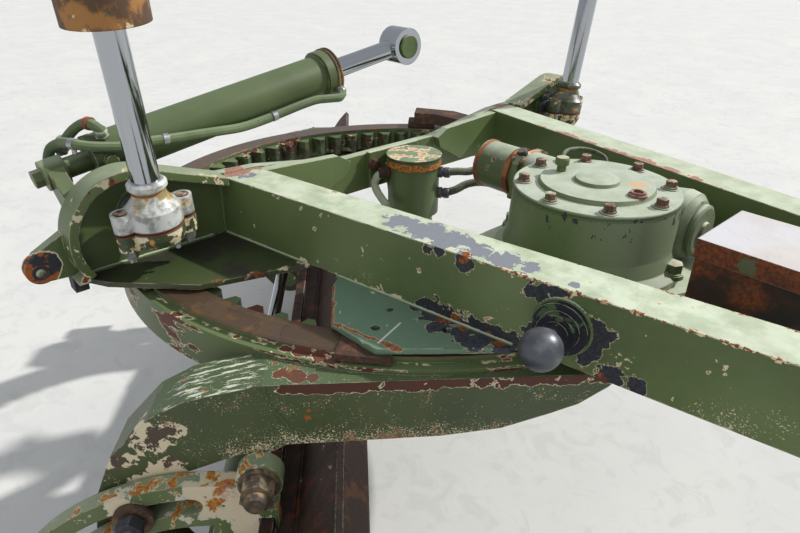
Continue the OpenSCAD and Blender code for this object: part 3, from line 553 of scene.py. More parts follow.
def circle_arm_paint():
    """The circle's arms: dark green, specked cream along the foot, scraped bare where they curve down."""
    worn = {"dust": 0.45, "tone": 0.5, "runs": 0.4, "dusty": srgb(92, 116, 84)}
    s = chipped_coat("circle_arm_paint", 0.0, 0.4, 0.7, **worn)
    u = s.along(RING, turned_way(1, 0))
    w = s.along(RING, turned_way(0, 1))
    z = s.z - RING.z
    foot = (1 - z.rise(-0.165, -0.095)) * (u + 0.46).rise(0.0, 0.12) * s.side
    spatter = s.noise(330.0, 4.0, 0.6) + (s.mottle - 0.5) * 0.5
    s.cover((spatter + foot * 0.16).rise(0.66, 0.69), CREAM, 0.2, -0.3)
    rows = [(-529, -133, 0.1), (-554, -100, 0.06), (-506, -206, 0.09), (-588, -177, 0.07), (-600, -260, 0.06)]
    rows += [(-486, -110, 0.05), (-560, -240, 0.07)]
    bare = s.spots(turned, on_both(CIRCLE_ARM_W, rows))
    s.chip(s.flakes + bare * 0.5, 0.86, s.mix(s.fine, CREAM, srgb(222, 208, 180)), depth=-0.5)
    inner = s.noise(16.0, 8.0, 0.62, shift=7.0)
    s.chip(inner * 0.9 + bare * 0.3, 0.72, s.mix(s.fine, srgb(104, 84, 66), srgb(62, 60, 56)), depth=-0.2)
    rows = [(-440, -44, 0.05), (-378, -38, 0.05), (-330, -34, 0.05), (-300, -34, 0.05)]
    lip = s.spots(turned, on_both(CIRCLE_ARM_W, rows))
    s.chip(s.flakes + lip * 0.34, 0.88, s.mix(s.mottle, CREAM, WHITE), depth=-0.3)
    drawn = s.node("ShaderNodeCombineXYZ", inputs={0: u * 0.16, 1: w, 2: z * 0.16})
    streak = s.noise(130.0, 8.0, 0.7, place=drawn)
    over = s.facing[2].rise(0.3, 0.6) * (1 - (u + 0.36).rise(0.0, 0.12)) * (u + 0.56).rise(0.0, 0.08)
    s.chip(streak + over * 0.4, 0.935, srgb(204, 206, 188), depth=-0.2)
    strip = z.rise(-0.062, -0.034) * u.rise(-0.32, -0.29) * s.side
    red = s.mix(s.fine, srgb(88, 44, 28), srgb(66, 34, 24))
    s.chip(s.flakes * 0.8 + strip * 0.42, 0.74, red, CREAM, 0.018, depth=-0.3)
    rows = [(-296, -768, -26, 0.04), (-270, -772, -26, 0.045), (-240, -778, -26, 0.03)]
    bruise = s.spots(turned, rows) * s.facing[2].rise(0.4, 0.7)
    brown = s.mottle.blend(0.4, 0.6, srgb(84, 62, 54), srgb(96, 56, 38))
    s.chip(s.flakes * 0.8 + bruise * 0.5, 0.72, brown, CREAM, 0.01)
    low = (1 - z.rise(-0.16, -0.1)) * (u + 0.26).rise(0.0, 0.1) * s.side
    s.cover((s.mottle + low * 0.16).rise(0.62, 0.72) * 0.7, srgb(128, 82, 44), 0.1)
    drip = s.spots(turned, [(-252, -CIRCLE_ARM_W, -96, 0.012), (-250, -CIRCLE_ARM_W, -80, 0.008)])
    s.cover((s.flakes + drip).rise(0.96, 1.0), shade(ORANGE, 0.8))
    return s.finish()


def bracket_paint():
    """The pitch brackets: green over cream over ochre, more gone than left."""
    s = chipped_coat("pitch_bracket_paint", 0.5, 0.6, 0.8, dust=0.3, runs=0.5)
    rows = [(-419, -225, 0.11), (-388, -255, 0.09), (-452, -250, 0.08), (-588, -242, 0.05)]
    rows += [(-360, -330, 0.08), (-560, -420, 0.09), (-420, -520, 0.09)]
    cream = s.spots(turned, on_both(BRACKET_FACE_W, rows))
    s.chip(s.flakes + cream * 0.34, 0.68, s.mix(s.fine, CREAM, srgb(220, 204, 180)), WHITE, 0.014)
    ochre = s.noise(22.0, 7.0, 0.6, shift=11.0, distortion=0.5)
    ochres = s.fine.blend(0.4, 0.6, OCHRE, ORANGE)
    s.chip(ochre + cream * 0.04 + s.up * 0.1, 0.645, ochres, CREAM, 0.016)
    pink = s.near(turned(-400, -BRACKET_FACE_W, -222), 0.035)
    s.cover(s.crumbs.rise(0.45, 0.6) * pink * 0.7, srgb(190, 130, 130))
    return s.finish()


def ring_finish():
    """The circle: its wear band rubbed brown, rim and wall painted and chipped, teeth greasy."""
    s = green_coat("circle_finish", dust=0.3, rounding=0.003, dusty=srgb(112, 130, 92), tone=0.85)
    away = s.away(RING, (1, 1, 0))
    lip = away.rise(0.752, 0.762) * (1 - away.rise(0.764, 0.778))
    level = s.flakes + s.wear * 0.1 + lip * 0.17 * s.up
    s.chip(level, 0.70, CREAM)
    s.chip(level, 0.78, s.rusty)
    rows = [(396, -650, -14, 0.05), (427, -632, -12, 0.05), (452, -622, -12, 0.035), (370, -668, -14, 0.03)]
    browns = s.mix(s.mottle, srgb(112, 60, 42), srgb(88, 58, 54))
    s.chip(s.flakes * 0.8 + s.spots(ring, rows) * 0.4, 0.68, browns, CREAM, 0.02)
    wall = away.rise(0.775, 0.779) * s.side
    torn = s.noise(9.0, 7.0, 0.6, (1, 1, 3), 2.0) + wall * 0.06
    s.chip(torn, 0.6, s.mix(s.fine, srgb(104, 54, 38), srgb(78, 42, 30)), CREAM, 0.012)
    flank = (1 - away.rise(0.690, 0.694)) * s.side
    dried = s.fine.blend(0.45, 0.6, srgb(66, 50, 34), srgb(120, 78, 42))
    grime = s.mottle.blend(0.5, 0.7, GREASE, dried)
    s.cover(flank * s.mottle.rise(0.4, 0.55) * 0.8, grime, 0.1)
    arcs = s.node(
        "ShaderNodeTexNoise",
        {"noise_dimensions": "1D"},
        {"W": away + s.broad * 0.01, "Scale": 160.0, "Detail": 4.0},
    )
    steel = s.mix(arcs, srgb(80, 66, 54), srgb(114, 94, 74))
    steel = s.mix(s.mottle.rise(0.52, 0.7) * 0.7, steel, srgb(134, 94, 58))
    steel = s.mix(s.broad.rise(0.45, 0.7) * 0.5, steel, srgb(84, 74, 78))
    top = (s.z - RING.z).rise(-0.004, -0.001)
    band = top * away.rise(0.688, 0.692) * (1 - away.rise(0.7595, 0.761))
    s.cover(band, steel, -0.12)
    return s.finish(band * 0.5)


def gearbox_paint(name, shift=0.0):
    """Cast housing under green paint with dust and painted sunlight on top, grainy, its +X side lightened as
    painted sunlight, a thin line of painted shade under its cover's rim, and black chips there.
    """
    s = green_coat(name, dust=0.8, runs=0.15, dusty=srgb(200, 208, 192), rounding=0.004)
    grain = s.noise(300.0, 3.0, 0.6)
    s.cover((grain - 0.45).clamped() * 1.2 * s.side, srgb(126, 136, 112), height=0.5)
    # Faces towards +X lightened: painted sunlight on the sunny side.
    face = s.facing[0].rise(0.2, 0.8) * s.side
    s.cover(face * 0.5, srgb(142, 150, 130))
    high = s.z - RING.z
    rim = high.within(0.150, 0.181, 0.02) * s.side
    spots = s.spots(ring, [(600, -196, 150, 0.04), (592, -198, 105, 0.03), (648, -160, 196, 0.03)])
    black = s.noise(46.0, 8.0, 0.6, (1, 1, 0.6), 4.0 + shift)
    s.chip(black + rim * 0.1 + spots * 0.13 * s.side, 0.71, BARE, depth=-0.3)
    # A thin line of painted shade under the cover's rim.
    s.cover(high.within(0.1835, 0.1865, 0.0015) * s.side * 0.6, DARK_OLIVE)
    s.cover(s.wear * s.mottle.rise(0.46, 0.6) * 0.5, srgb(88, 94, 84))
    s.chip(s.flakes + s.wear * 0.16, 0.76, s.mottle.blend(0.5, 0.6, BARE, OCHRE), depth=-0.2)
    pink = s.near(ring(610, 40, 201), 0.05, (0.7, 1, 1))
    s.chip(s.mottle + pink * 0.34, 0.76, s.mix(s.fine, PINK, srgb(206, 176, 120)), depth=-0.1)
    return s.finish()


def beam_finish():
    """The nose beam: its top paled near white, partly as painted sunlight, its sides near black with lumps of
    rust.
    """
    s = Surface("nose_beam_finish", 0.004)
    mottle = s.noise(24.0, 8.0, 0.66, distortion=0.4)
    fine = s.noise(160.0, 5.0, 0.6)
    broad = s.noise(7.0, 6.0, 0.6)
    s.colour = mottle.blend(0.4, 0.65, srgb(52, 46, 44), srgb(78, 66, 58))
    s.rough = fine * 0.3 + 0.55
    s.height = fine * 0.5 + mottle * 0.6
    slab = (s.z - ring(0, 0, 154).z).rise(-0.002, 0.001)
    rear = 1 - (s.x - ring(815, 0, 0).x).rise(0.0, 0.09)
    low = 1 - (s.z - ring(0, 0, 28).z).rise(0.03, 0.08)
    lumps = broad + slab * 0.08 + rear * 0.07 + low * 0.05
    orange = fine.blend(0.35, 0.7, srgb(90, 48, 32), srgb(142, 76, 38))
    s.cover(lumps.rise(0.5, 0.6), orange, 0.1, 0.4)
    black = s.noise(5.0, 4.0, 0.6, shift=8.0) - slab * 0.1 - rear * 0.04
    s.cover(black.rise(0.46, 0.56) * 0.85, srgb(40, 36, 34))
    remnant = s.near(ring(905, -95, 172), 0.04)
    s.cover((mottle + remnant * 0.24 * slab).rise(0.68, 0.7), srgb(96, 100, 72), height=0.3)
    seam = 1 - (s.z - ring(0, 0, 154).z).size().rise(0.0008, 0.002)
    s.cover(seam * s.side * 0.6, srgb(136, 122, 110))
    # The top paled near white, partly as painted sunlight.
    ahead = s.x + mottle * 0.3 - ring(940, 0, 0).x
    top = ahead.blend(0.0, 0.35, srgb(204, 204, 210), srgb(206, 194, 186))
    top = s.mix(broad.rise(0.5, 0.7) * 0.5, top, srgb(190, 184, 178))
    s.cover(s.up, top, 0.1, -0.4)
    chips = s.edge() * 0.35 + mottle
    s.cover(s.up * chips.rise(0.74, 0.77), srgb(140, 84, 56))
    return s.finish(0.05, 0.0012)


def moldboard_finish():
    """The blade: brown-black steel with red-brown streaks, its edges rubbed grey and paled as a painted
    highlight of grazing sunlight.
    """
    s = Surface("moldboard_finish", 0.004)
    mottle = s.noise(20.0, 7.0, 0.62, distortion=0.4)
    streak = s.noise(34.0, 6.0, 0.6, (1, 1, 0.1))
    fine = s.noise(170.0, 5.0, 0.6)
    s.colour = mottle.blend(0.4, 0.66, srgb(52, 38, 32), srgb(78, 54, 42))
    s.rough = fine * 0.3 + 0.5
    s.height = fine * 0.4 + mottle * 0.4
    s.cover(streak.rise(0.52, 0.68) * 0.8, srgb(112, 54, 34), 0.05)
    s.cover(streak.rise(0.3, 0.42) * -0.5 + 0.5, srgb(40, 32, 30))
    # Pale grey edges: rubbed steel with a painted highlight of grazing sunlight.
    grey = fine.blend(0.4, 0.6, srgb(196, 194, 186), srgb(120, 108, 96))
    s.chip(s.edge() * 0.5 + mottle, 0.66, grey)
    return s.finish(0.15, 0.0012)


def rusty_steel(name, light, dark, spread=0.5, scale=9.0, rubbed=srgb(120, 105, 95)):
    """Steel brown with rust, rubbed smooth along its edges."""
    s = Surface(name, 0.004)
    broad = s.noise(scale, 6.0, 0.65, distortion=0.4)
    fine = s.noise(140.0, 5.0, 0.65)
    streak = s.noise(30.0, 5.0, 0.6, (1, 1, 0.15))
    s.colour = broad.blend(0.62 - 0.3 * spread, 0.72 - 0.2 * spread, dark, light)
    s.rough = fine * 0.3 + 0.6
    s.height = fine * 0.6 + broad * 0.5
    s.cover((fine - 0.45).clamped() * 1.6, shade(dark, 0.55))
    s.cover(streak.rise(0.6, 0.8) * 0.4, srgb(150, 110, 80))
    s.cover(s.edge().rise(0.2, 0.8) * broad.rise(0.4, 0.6) * 0.6, rubbed)
    return s.finish(0.15, 0.0012)


def chrome_finish(name):
    """Hard chrome, with a thin film of oil and dust that breaks its shine into bands."""
    s = Surface(name)
    film = s.noise(9.0, 4.0, 0.6, (1, 1, 0.25))
    s.colour = s.mix(film.rise(0.5, 0.75) * 0.3, CHROME, OIL)
    s.rough = film.rise(0.45, 0.8) * 0.14 + 0.08
    s.height = s.noise(400.0, 2.0, 0.5) * 0.2
    return s.finish(1.0, 0.0002)


def swivel_finish():
    """The swivel: an orange band of rust under its cap's rim, pink and rust flakes on top."""
    s = green_coat("swivel_paint", dust=0.5, runs=0.25, rounding=0.003, dusty=srgb(156, 174, 144), tone=0.75)
    flecks = s.noise(26.0, 8.0, 0.66, shift=6.0)
    pink = s.crumbs.blend(0.5, 0.56, srgb(206, 160, 130), srgb(170, 100, 60))
    s.chip(flecks * s.up, 0.57, pink, srgb(222, 204, 166), 0.05, depth=-0.2)
    high = s.z - RING.z
    ragged = high + (s.mottle - 0.5) * 0.02
    band = ragged.within(0.097, 0.112, 0.002) * s.side
    rust = s.fine.blend(0.4, 0.6, srgb(190, 118, 42), srgb(116, 70, 34))
    s.cover(band * (s.crumbs + 0.3).rise(0.62, 0.68), rust, 0.3, -0.3)
    s.cover(high.within(0.117, 0.121, 0.001) * s.side * 0.5, DARK_OLIVE)
    return s.finish()


def can_finish():
    """The drive motor's can, rusted round its end rims and necks."""
    s = green_coat("motor_paint", dust=0.65, runs=0.2, rounding=0.003, tone=0.75)
    rims = 0.0
    for end, width in ((155, 0.011), (168, 0.006), (258, 0.008), (270, 0.010)):
        rims = (1 - (s.x - ring(end, 0, 0).x).size().rise(0.002, width)) | rims
    rusty = s.mottle.blend(0.4, 0.6, srgb(166, 92, 42), srgb(108, 62, 38))
    s.chip(rims * 0.34 + s.mottle, 0.66, rusty, srgb(150, 140, 110), 0.03, depth=-0.3)
    return s.finish()


def flange_finish():
    s = green_coat("motor_flange_paint", dust=0.4, runs=0.2, rounding=0.003)
    tan = s.spots(ring, [(278, 120, 168, 0.055), (290, 110, 172, 0.045)])
    patch = s.crumbs.blend(0.45, 0.6, srgb(206, 180, 150), srgb(190, 132, 96))
    s.chip(s.flakes + tan * 0.4, 0.72, patch, srgb(120, 110, 90), 0.02, depth=-0.2)
    s.chip(s.flakes + s.wear * 0.2, 0.78, s.rusty, depth=-0.2)
    return s.finish()


def cap_finish(side):
    """A lift rod: chrome above its ball cap, the cap's paint flaked to ochre, with an ochre groove."""
    s = Surface("lift_rod_finish_" + SIDES[side], 0.003)
    high = s.along(LIFT_BALL[side], lifted_way(side, 0, 0, 1))
    mottle = s.noise(38.0, 8.0, 0.62, distortion=0.4)
    fine = s.noise(260.0, 3.0)
    blotch = s.noise(24.0, 7.0, 0.62, shift=3.0)
    film = s.noise(8.0, 4.0, 0.6, (1, 1, 0.3))
    cap = 1 - high.rise(0.0955, 0.0965)
    pale, mid = srgb(196, 198, 196), srgb(136, 138, 130)
    if side > 0:
        pale, mid = srgb(92, 96, 80), srgb(56, 64, 44)
    s.colour = s.mix(film.rise(0.5, 0.75) * 0.3, CHROME, OIL)
    s.rough = film.rise(0.45, 0.8) * 0.12 + 0.08
    s.height = mottle * 0.4 * cap
    s.cover(cap, mottle.blend(0.42, 0.62, pale, mid), 0.3)
    # Painted shade in the cap's corners.
    s.cover(cap * s.crevice(0.03).rise(0.3, 0.9) * 0.7, srgb(84, 76, 60))
    ears = high.within(0.030, 0.050, 0.004) * cap
    s.cover((blotch + ears * 0.06).rise(0.62, 0.635) * cap, s.mix(fine, OCHRE, CREAM), height=-0.3)
    neck = high.within(0.052, 0.076, 0.003)
    flaked = mottle.blend(0.45, 0.6, OCHRE, srgb(124, 132, 96))
    s.cover((blotch + neck * 0.11).rise(0.62, 0.64) * cap, flaked)
    groove = high.within(0.070, 0.0775, 0.001)
    s.cover(groove, srgb(150, 108, 48), 0.1)
    lower = 1 - high.rise(-0.004, -0.002)
    flaked = blotch.blend(0.5, 0.6, CREAM, OCHRE)
    s.cover(lower, mottle.blend(0.5, 0.52, srgb(60, 70, 46), flaked), 0.1, -0.3)
    seam = 1 - high.size().rise(0.0035, 0.006)
    s.cover(seam, srgb(98, 62, 42), 0.1)
    return s.finish(1 - cap, 0.001)


def lift_barrel_finish(side):
    """A lift cylinder: green, its gland flaked to ochre, rust and cream."""
    s = chipped_coat("lift_barrel_finish_" + SIDES[side], 0.1, 0.2, 0.8, dust=0.4, tone=0.85)
    high = s.along(LIFT_BALL[side], lifted_way(side, 0, 0, 1))
    gland = 1 - (high + (s.mottle - 0.5) * 0.03).rise(0.448, 0.458)
    brown = s.mottle.blend(0.44, 0.58, srgb(84, 60, 40), srgb(156, 108, 56))
    s.cover(gland * s.flakes.rise(0.34, 0.36), brown, 0.2, -0.2)
    s.chip(s.flakes + gland * 0.1, 0.72, s.mix(s.fine, CREAM, srgb(202, 178, 128)), depth=-0.2)
    return s.finish()


def ball_finish():
    """Worn steel of the balls: grey, with painted shade turning them blue-black below, green left on the
    spare ball's boss.
    """
    s = Surface("ball_steel", 0.002)
    mottle = s.noise(30.0, 6.0, 0.6)
    fine = s.noise(300.0, 3.0)
    s.colour = mottle.blend(0.4, 0.7, srgb(84, 88, 94), srgb(114, 117, 120))
    s.rough = mottle * 0.25 + 0.28
    s.height = fine * 0.25 + mottle * 0.2
    s.cover(s.noise(26.0, 8.0, 0.6, shift=9.0).rise(0.66, 0.68), srgb(110, 84, 60), 0.3)
    # Downward faces darkened: painted shade.
    s.cover((1 - s.facing[2].rise(-0.5, 0.1)) * 0.6, srgb(44, 46, 52))
    boss = s.near(ring(*SPARE_BALL), 0.075).rise(0.0, 0.03)
    green = s.noise(24.0, 8.0, 0.62, shift=2.0) + s.edge() * 0.04
    s.cover(boss, srgb(40, 43, 52), 0.2)
    s.cover(boss * green.rise(0.58, 0.59), srgb(84, 104, 74), 0.1, 0.3)
    rim = s.edge().rise(0.3, 0.6) * mottle.rise(0.46, 0.5)
    s.cover(boss * rim, CREAM)
    return s.finish(0.45)


def dark_steel(name, shine=0.5):
    s = Surface(name, 0.002)
    mottle = s.noise(40.0, 6.0, 0.6)
    s.colour = mottle.blend(0.45, 0.7, srgb(58, 60, 66), srgb(88, 84, 82))
    s.rough = mottle * 0.2 + shine
    s.height = s.noise(300.0, 3.0) * 0.3 + mottle * 0.3
    s.cover(s.noise(22.0, 7.0, shift=9.0).rise(0.56, 0.6), srgb(116, 78, 48), 0.15)
    s.cover(s.edge() * 0.5, srgb(130, 134, 138))
    return s.finish(0.35)


def hose_finish(name, paint, green=srgb(96, 112, 76), deep=srgb(76, 92, 62), pale=0.0):
    """Rubber hose with a share of paint over it, dust and painted sunlight on top, and painted shade in its
    corners.
    """
    s = Surface(name)
    mottle = s.noise(45.0, 5.0, 0.6)
    left = mottle.rise(0.62 - 0.35 * paint, 0.66 - 0.35 * paint)
    s.colour = s.mix(left, srgb(46, 48, 44), s.mix(s.noise(9.0, 3.0).rise(0.4, 0.65), green, deep))
    s.rough = mottle * 0.2 + 0.62
    s.height = s.noise(500.0, 2.0) * 0.4 + mottle * 0.2
    # Top faces lightened: dust and painted sunlight.
    s.cover(s.up * 0.35, srgb(150, 162, 132))
    near_side = 1 - (s.y - ring(0, -58, 0).y).rise(-0.01, 0.01)
    s.cover(near_side * pale * mottle.rise(0.3, 0.45), srgb(182, 190, 168))
    # Painted shade in the hose's corners.
    s.cover(s.crevice(0.03).rise(0.4, 0.9) * 0.4, DARK_OLIVE)
    return s.finish(depth=0.0004)


def bolt_finish(name, paint, rusty=srgb(80, 62, 50), tan=srgb(122, 94, 72), pale=0.8):
    """Bolt heads: rust, with paint left on some, and tops paler as painted sunlight."""
    s = Surface(name, 0.0015)
    mottle = s.noise(70.0, 5.0, 0.6)
    left = s.noise(24.0, 3.0, shift=2.0).rise(0.62 - 0.3 * paint, 0.66 - 0.3 * paint)
    bare = mottle.blend(0.4, 0.65, rusty, tan)
    # On painted bolts the tops go to pale mint: painted sunlight.
    painted = s.mix(s.up * 0.8, s.mix(mottle, GREEN, DEEP_GREEN), SUNLIT_MINT)
    s.colour = s.mix(left, bare, painted)
    s.rough = mottle * 0.2 + 0.55
    s.height = mottle
    # Paler tops: painted sunlight.
    s.cover(s.up * pale * mottle.rise(0.4, 0.6), srgb(186, 160, 140))
    return s.finish(0.1)


def bright_steel(name, tint=srgb(176, 180, 184)):
    s = Surface(name, 0.001)
    mottle = s.noise(80.0, 4.0, 0.6)
    s.colour = mottle.blend(0.45, 0.7, tint, shade(tint, 0.55))
    s.rough = mottle * 0.25 + 0.25
    s.height = mottle * 0.5
    return s.finish(0.8)


def aimed(way):
    """The turn that takes +Z to a way."""
    return UP.rotation_difference(Vector(way).normalized()).to_matrix()


def skin(mesh, rows, capped=True):
    """Faces from each closed row of vertices to the next, and over both ends if it is capped."""
    for low, high in zip(rows, rows[1:]):
        for i in range(max(len(low), len(high))):
            corners = [low[i % len(low)], low[(i + 1) % len(low)]]
            corners += [high[(i + 1) % len(high)], high[i % len(high)]]
            unique = list(dict.fromkeys(corners))
            if len(unique) > 2:
                mesh.faces.new(unique)
    if capped:
        mesh.faces.new(rows[0][::-1])
        mesh.faces.new(rows[-1])


def spin(mesh, outline, place, way, steps=32):
    """A turned shape: outline holds (radius, distance along way) in mm, and closes on itself or the axis."""
    turn = aimed(way)
    rows = []
    for radius, along in outline:
        count = steps if radius > 1e-6 else 1
        row = []
        for i in range(count):
            angle = 2 * math.pi * i / count
            local = Vector((radius * math.cos(angle), radius * math.sin(angle), along)) * MM
            row.append(mesh.verts.new(Vector(place) + turn @ local))
        rows.append(row)
    skin(mesh, rows, capped=False)


def solid(mesh, outline, place, way, steps=32):
    """A turned shape as in spin(), closed to its axis at both ends of the outline."""
    spin(mesh, [(0, outline[0][1]), *outline, (0, outline[-1][1])], place, way, steps)


def prism(mesh, sides, place, way, corner, low, high, twist=0.0, chamfer=0.12):
    """A straight block with a regular outline and a chamfered end; corner is its radius in mm."""
    turn = aimed(way)
    rows = []
    for share, along in ((1, low), (1, high - chamfer * corner * 0.5), (1 - chamfer, high)):
        row = []
        for i in range(sides):
            angle = twist + 2 * math.pi * i / sides
            local = Vector((math.cos(angle), math.sin(angle), 0)) * corner * share
            row.append(mesh.verts.new(Vector(place) + turn @ (local + UP * along) * MM))
        rows.append(row)
    skin(mesh, rows)


def hexagon(mesh, place, way, across, height, twist=0.0, washer=0.0, thick=3.0):
    """A hexagon head or nut with a chamfered top, on a washer if it has one; sizes in mm."""
    base = 0.0
    if washer:
        solid(mesh, [(washer, 0), (washer, thick - 0.5), (washer - 0.5, thick)], place, way, 24)
        base = thick
    prism(mesh, 6, place, way, across / math.sqrt(3), base, base + height, twist)


def fitting(mesh, place, way, radius, nut=12.0, sleeve=26.0):
    """A hose's end: a nut against its port and a crimped sleeve over the hose, from a point outward."""
    hexagon(mesh, place, way, radius * 2.5, nut)
    outline = [(radius + 1.5, nut), (radius + 1.5, nut + 3), (radius + 3.5, nut + 5)]
    ribs = 3
    length = (sleeve - 8) / ribs
    for i in range(ribs):
        start = nut + 5 + i * length
        outline += [(radius + 3.5, start + length * 0.7), (radius + 2.3, start + length * 0.85)]
        outline.append((radius + 3.5, start + length))
    outline.append((radius + 1.2, nut + sleeve))
    solid(mesh, outline, place, way, 20)


def hoop(mesh, place, way, inner, thick, length, steps):
    """A closed ring round an axis, centred on a point; sizes in mm."""
    half = length / 2
    outline = [(inner, -half), (inner + thick, -half), (inner + thick, half), (inner, half), (inner, -half)]
    spin(mesh, outline, place, way, steps)


def tube(mesh, path, radius_at, steps=12):
    """A closed tube along a path; radius_at gives its radius in metres at each point's number."""
    side = (path[1] - path[0]).orthogonal().normalized()
    rows = []
    for i, point in enumerate(path):
        ahead = (path[min(i + 1, len(path) - 1)] - path[max(i - 1, 0)]).normalized()
        side = (side - ahead * side.dot(ahead)).normalized()
        over = ahead.cross(side)
        row = []
        for k in range(steps):
            angle = 2 * math.pi * k / steps
            out = side * math.cos(angle) + over * math.sin(angle)
            row.append(mesh.verts.new(point + out * radius_at(i)))
        rows.append(row)
    skin(mesh, rows)


def bead(mesh, points, radius=5.0, bulge=0.25):
    """A weld bead along straight stretches between points, rippled by its radius in mm and a bulge."""
    path = []
    for start, end in zip(points, points[1:]):
        count = max(4, int((end - start).length / (radius * MM * 0.9)))
        path += [start.lerp(end, i / count) for i in range(count)]
    path.append(points[-1])
    sizes = [radius * MM * (1 + random.uniform(-bulge, bulge) * 0.6) for _ in path]
    tube(mesh, path, lambda i: sizes[i], 8)


def arc(centre, first, second, radius, start, end, count=32):
    """Points on an arc about a centre: its angle in degrees runs from the first way to the second."""
    angles = [math.radians(start + (end - start) * i / count) for i in range(count + 1)]
    return [centre + (first * math.cos(a) + second * math.sin(a)) * radius * MM for a in angles]


def piece(mesh, name, body, material, sharp=32):
    """One object from a bmesh, smooth but for edges sharper than an angle, riding on a CAD body."""
    bmesh.ops.remove_doubles(mesh, verts=mesh.verts, dist=1e-7)
    bmesh.ops.recalc_face_normals(mesh, faces=mesh.faces)
    limit = math.radians(sharp)
    for face in mesh.faces:
        face.smooth = True
    for line in mesh.edges:
        line.smooth = line.calc_face_angle(0.0) < limit
    data = bpy.data.meshes.new(name)
    mesh.to_mesh(data)
    mesh.free()
    data.materials.append(material)
    made = bpy.data.objects.new(name, data)
    bpy.context.scene.collection.objects.link(made)
    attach(made, body)
    return made


# Finishes of the CAD nodes

plain_green = chipped_coat("plain_green", 0.1, 0.3, 0.6).finish()
lug_green = chipped_coat("lug_green", 0.4, 0.3, 0.9, dust=0.3, tone=0.8).finish()
# The barrels' green is darkened by tone 0.72, partly as painted shade from the grader's frame, which is not
# built here; their tops get dust and painted sunlight.
barrel_dust = {"dust": 0.25, "dusty": srgb(120, 138, 108)}
barrel_paint = chipped_coat("barrel_paint", 0.0, 0.15, 0.5, tone=0.72, **barrel_dust).finish()
circle_arm = circle_arm_paint()
moldboard_brown = moldboard_finish()
edge_steel = rusty_steel("cutting_edge_steel", srgb(120, 80, 52), srgb(74, 54, 44), 0.4, 12.0)
shoe_steel = rusty_steel("shoe_steel", srgb(116, 74, 48), srgb(68, 50, 40), 0.4, 20.0)
gland_rust = rusty_steel("gland_rust", srgb(150, 108, 60), srgb(86, 62, 42), 0.6, 26.0, CREAM)
pin_steel = dark_steel("pin_steel")
bolt_rust = bolt_finish("rusted_bolts", 0.0)
brown_bolts = bolt_finish("brown_bolts", -1.0, srgb(72, 64, 54), srgb(116, 96, 66), 0.3)
bolt_green = bolt_finish("painted_bolts", 0.9)
black_rubber = hose_finish("bare_hose", 0.1)
bright = bright_steel("bright_steel")

FINISHES = (
    (near_arm_paint(), "drawbar_arm_right"),
    (far_arm_paint(), "drawbar_arm_left"),
    (cross_plate_paint(), "cross_plate"),
    (wing_paint(-1), "wing_right"),
    (wing_paint(1), "wing_left"),
    (rear_plate_paint(), "rear_plate_right rear_plate_left"),
    (shoe_plate_paint(), "shoe_plate_right shoe_plate_left"),
    (shoe_steel, "guide_shoes hold_down_clips"),
    (plain_green, "gearbox_deck nose_block swivel_bracket swivel_bar"),
    (beam_finish(), "nose_beam"),
    (gearbox_paint("gearbox_paint"), "gearbox_housing"),
    (gearbox_paint("gearbox_cover_paint", 1.0), "gearbox_cover"),
    (gearbox_paint("worm_cover_paint", 2.0), "worm_end_cover"),
    (flange_finish(), "motor_flange"),
    (can_finish(), "drive_motor"),
    (swivel_finish(), "swivel_upper"),
    (ball_finish(), "nose_ball_stud lift_ball_right lift_ball_left spare_ball"),
    (lug_green, "side_shift_lug"),
    (hose_finish("dull_hose", 0.6, srgb(76, 84, 62), srgb(60, 68, 50), 0.85), "drive_hoses"),
    (pin_steel, "drive_pinion"),
    (ring_finish(), "circle_ring"),
    (circle_arm, "circle_arm_right circle_arm_left"),
    (rusty_steel("stud_steel", srgb(124, 96, 66), srgb(84, 66, 52), 0.5, 20.0), "pitch_studs"),
    (bracket_paint(), "pitch_bracket_right pitch_bracket_left"),
    (barrel_paint, "blade_shift_barrel side_shift_barrel"),
    (moldboard_brown, "moldboard slide_rails"),
    (edge_steel, "cutting_edge_right cutting_edge_left end_bit_right end_bit_left"),
    (chrome_finish("rod_chrome"), "blade_shift_rod side_shift_rod"),
    (cap_finish(-1), "lift_rod_right"),
    (cap_finish(1), "lift_rod_left"),
    (lift_barrel_finish(-1), "lift_barrel_right"),
    (lift_barrel_finish(1), "lift_barrel_left"),
    (hose_finish("painted_hose", 0.95), "side_shift_hoses"),
)
for material, names in FINISHES:
    for name in names.split():
        slots = nodes[name].data.materials
        slots.clear()
        slots.append(material)


# Gearbox, motor and swivel

def at_pinion(radius, angle, z):
    """A point round the pinion's axis: radius in mm, angle in degrees and z as in ring()."""
    turn = math.radians(angle)
    place = PINION + Vector((radius * math.cos(turn), radius * math.sin(turn), 0)) * MM
    place.z = ring(0, 0, z).z
    return place


def gearbox_fittings():
    heads = bmesh.new()
    for i in range(8):
        place = at_pinion(BOLT_CIRCLE, BOLT_TURN + 45 * i, COVER_TOP + 2)
        hexagon(heads, place, UP, 20, 12.5, random.uniform(0, 1), 14)
    piece(heads, "cover_bolts", "drawbar", bolt_rust)
    feet = bmesh.new()
    for i in range(6):
        place = at_pinion(188, 7.4 + 60 * i, 42)
        solid(feet, [(24, 0), (22, 8)], place, UP, 24)
        hexagon(feet, place + UP * 8 * MM, UP, 32, 20, random.uniform(0, 1), 20)
    piece(feet, "foot_bolts", "drawbar", bolt_green)
    plug = bmesh.new()
    outline = [(19, 0), (19, 4), (16, 5), (15, 9), (10, 9), (10, 4)]
    solid(plug, outline, ring(655, -14, DISC_TOP), UP, 24)
    piece(plug, "level_plug", "drawbar", bolt_finish("plug_paint", 0.0, srgb(112, 66, 58)))
    cap = bmesh.new()
    place = ring(468, -4, DISC_TOP)
    solid(cap, [(10, 0), (10, 8)], place, UP, 20)
    hexagon(cap, place + UP * 8 * MM, UP, 19, 7)
    solid(cap, [(15, 15), (15.5, 27), (13, 31)], place, UP, 24)
    piece(cap, "breather_cap", "drawbar", bolt_green)


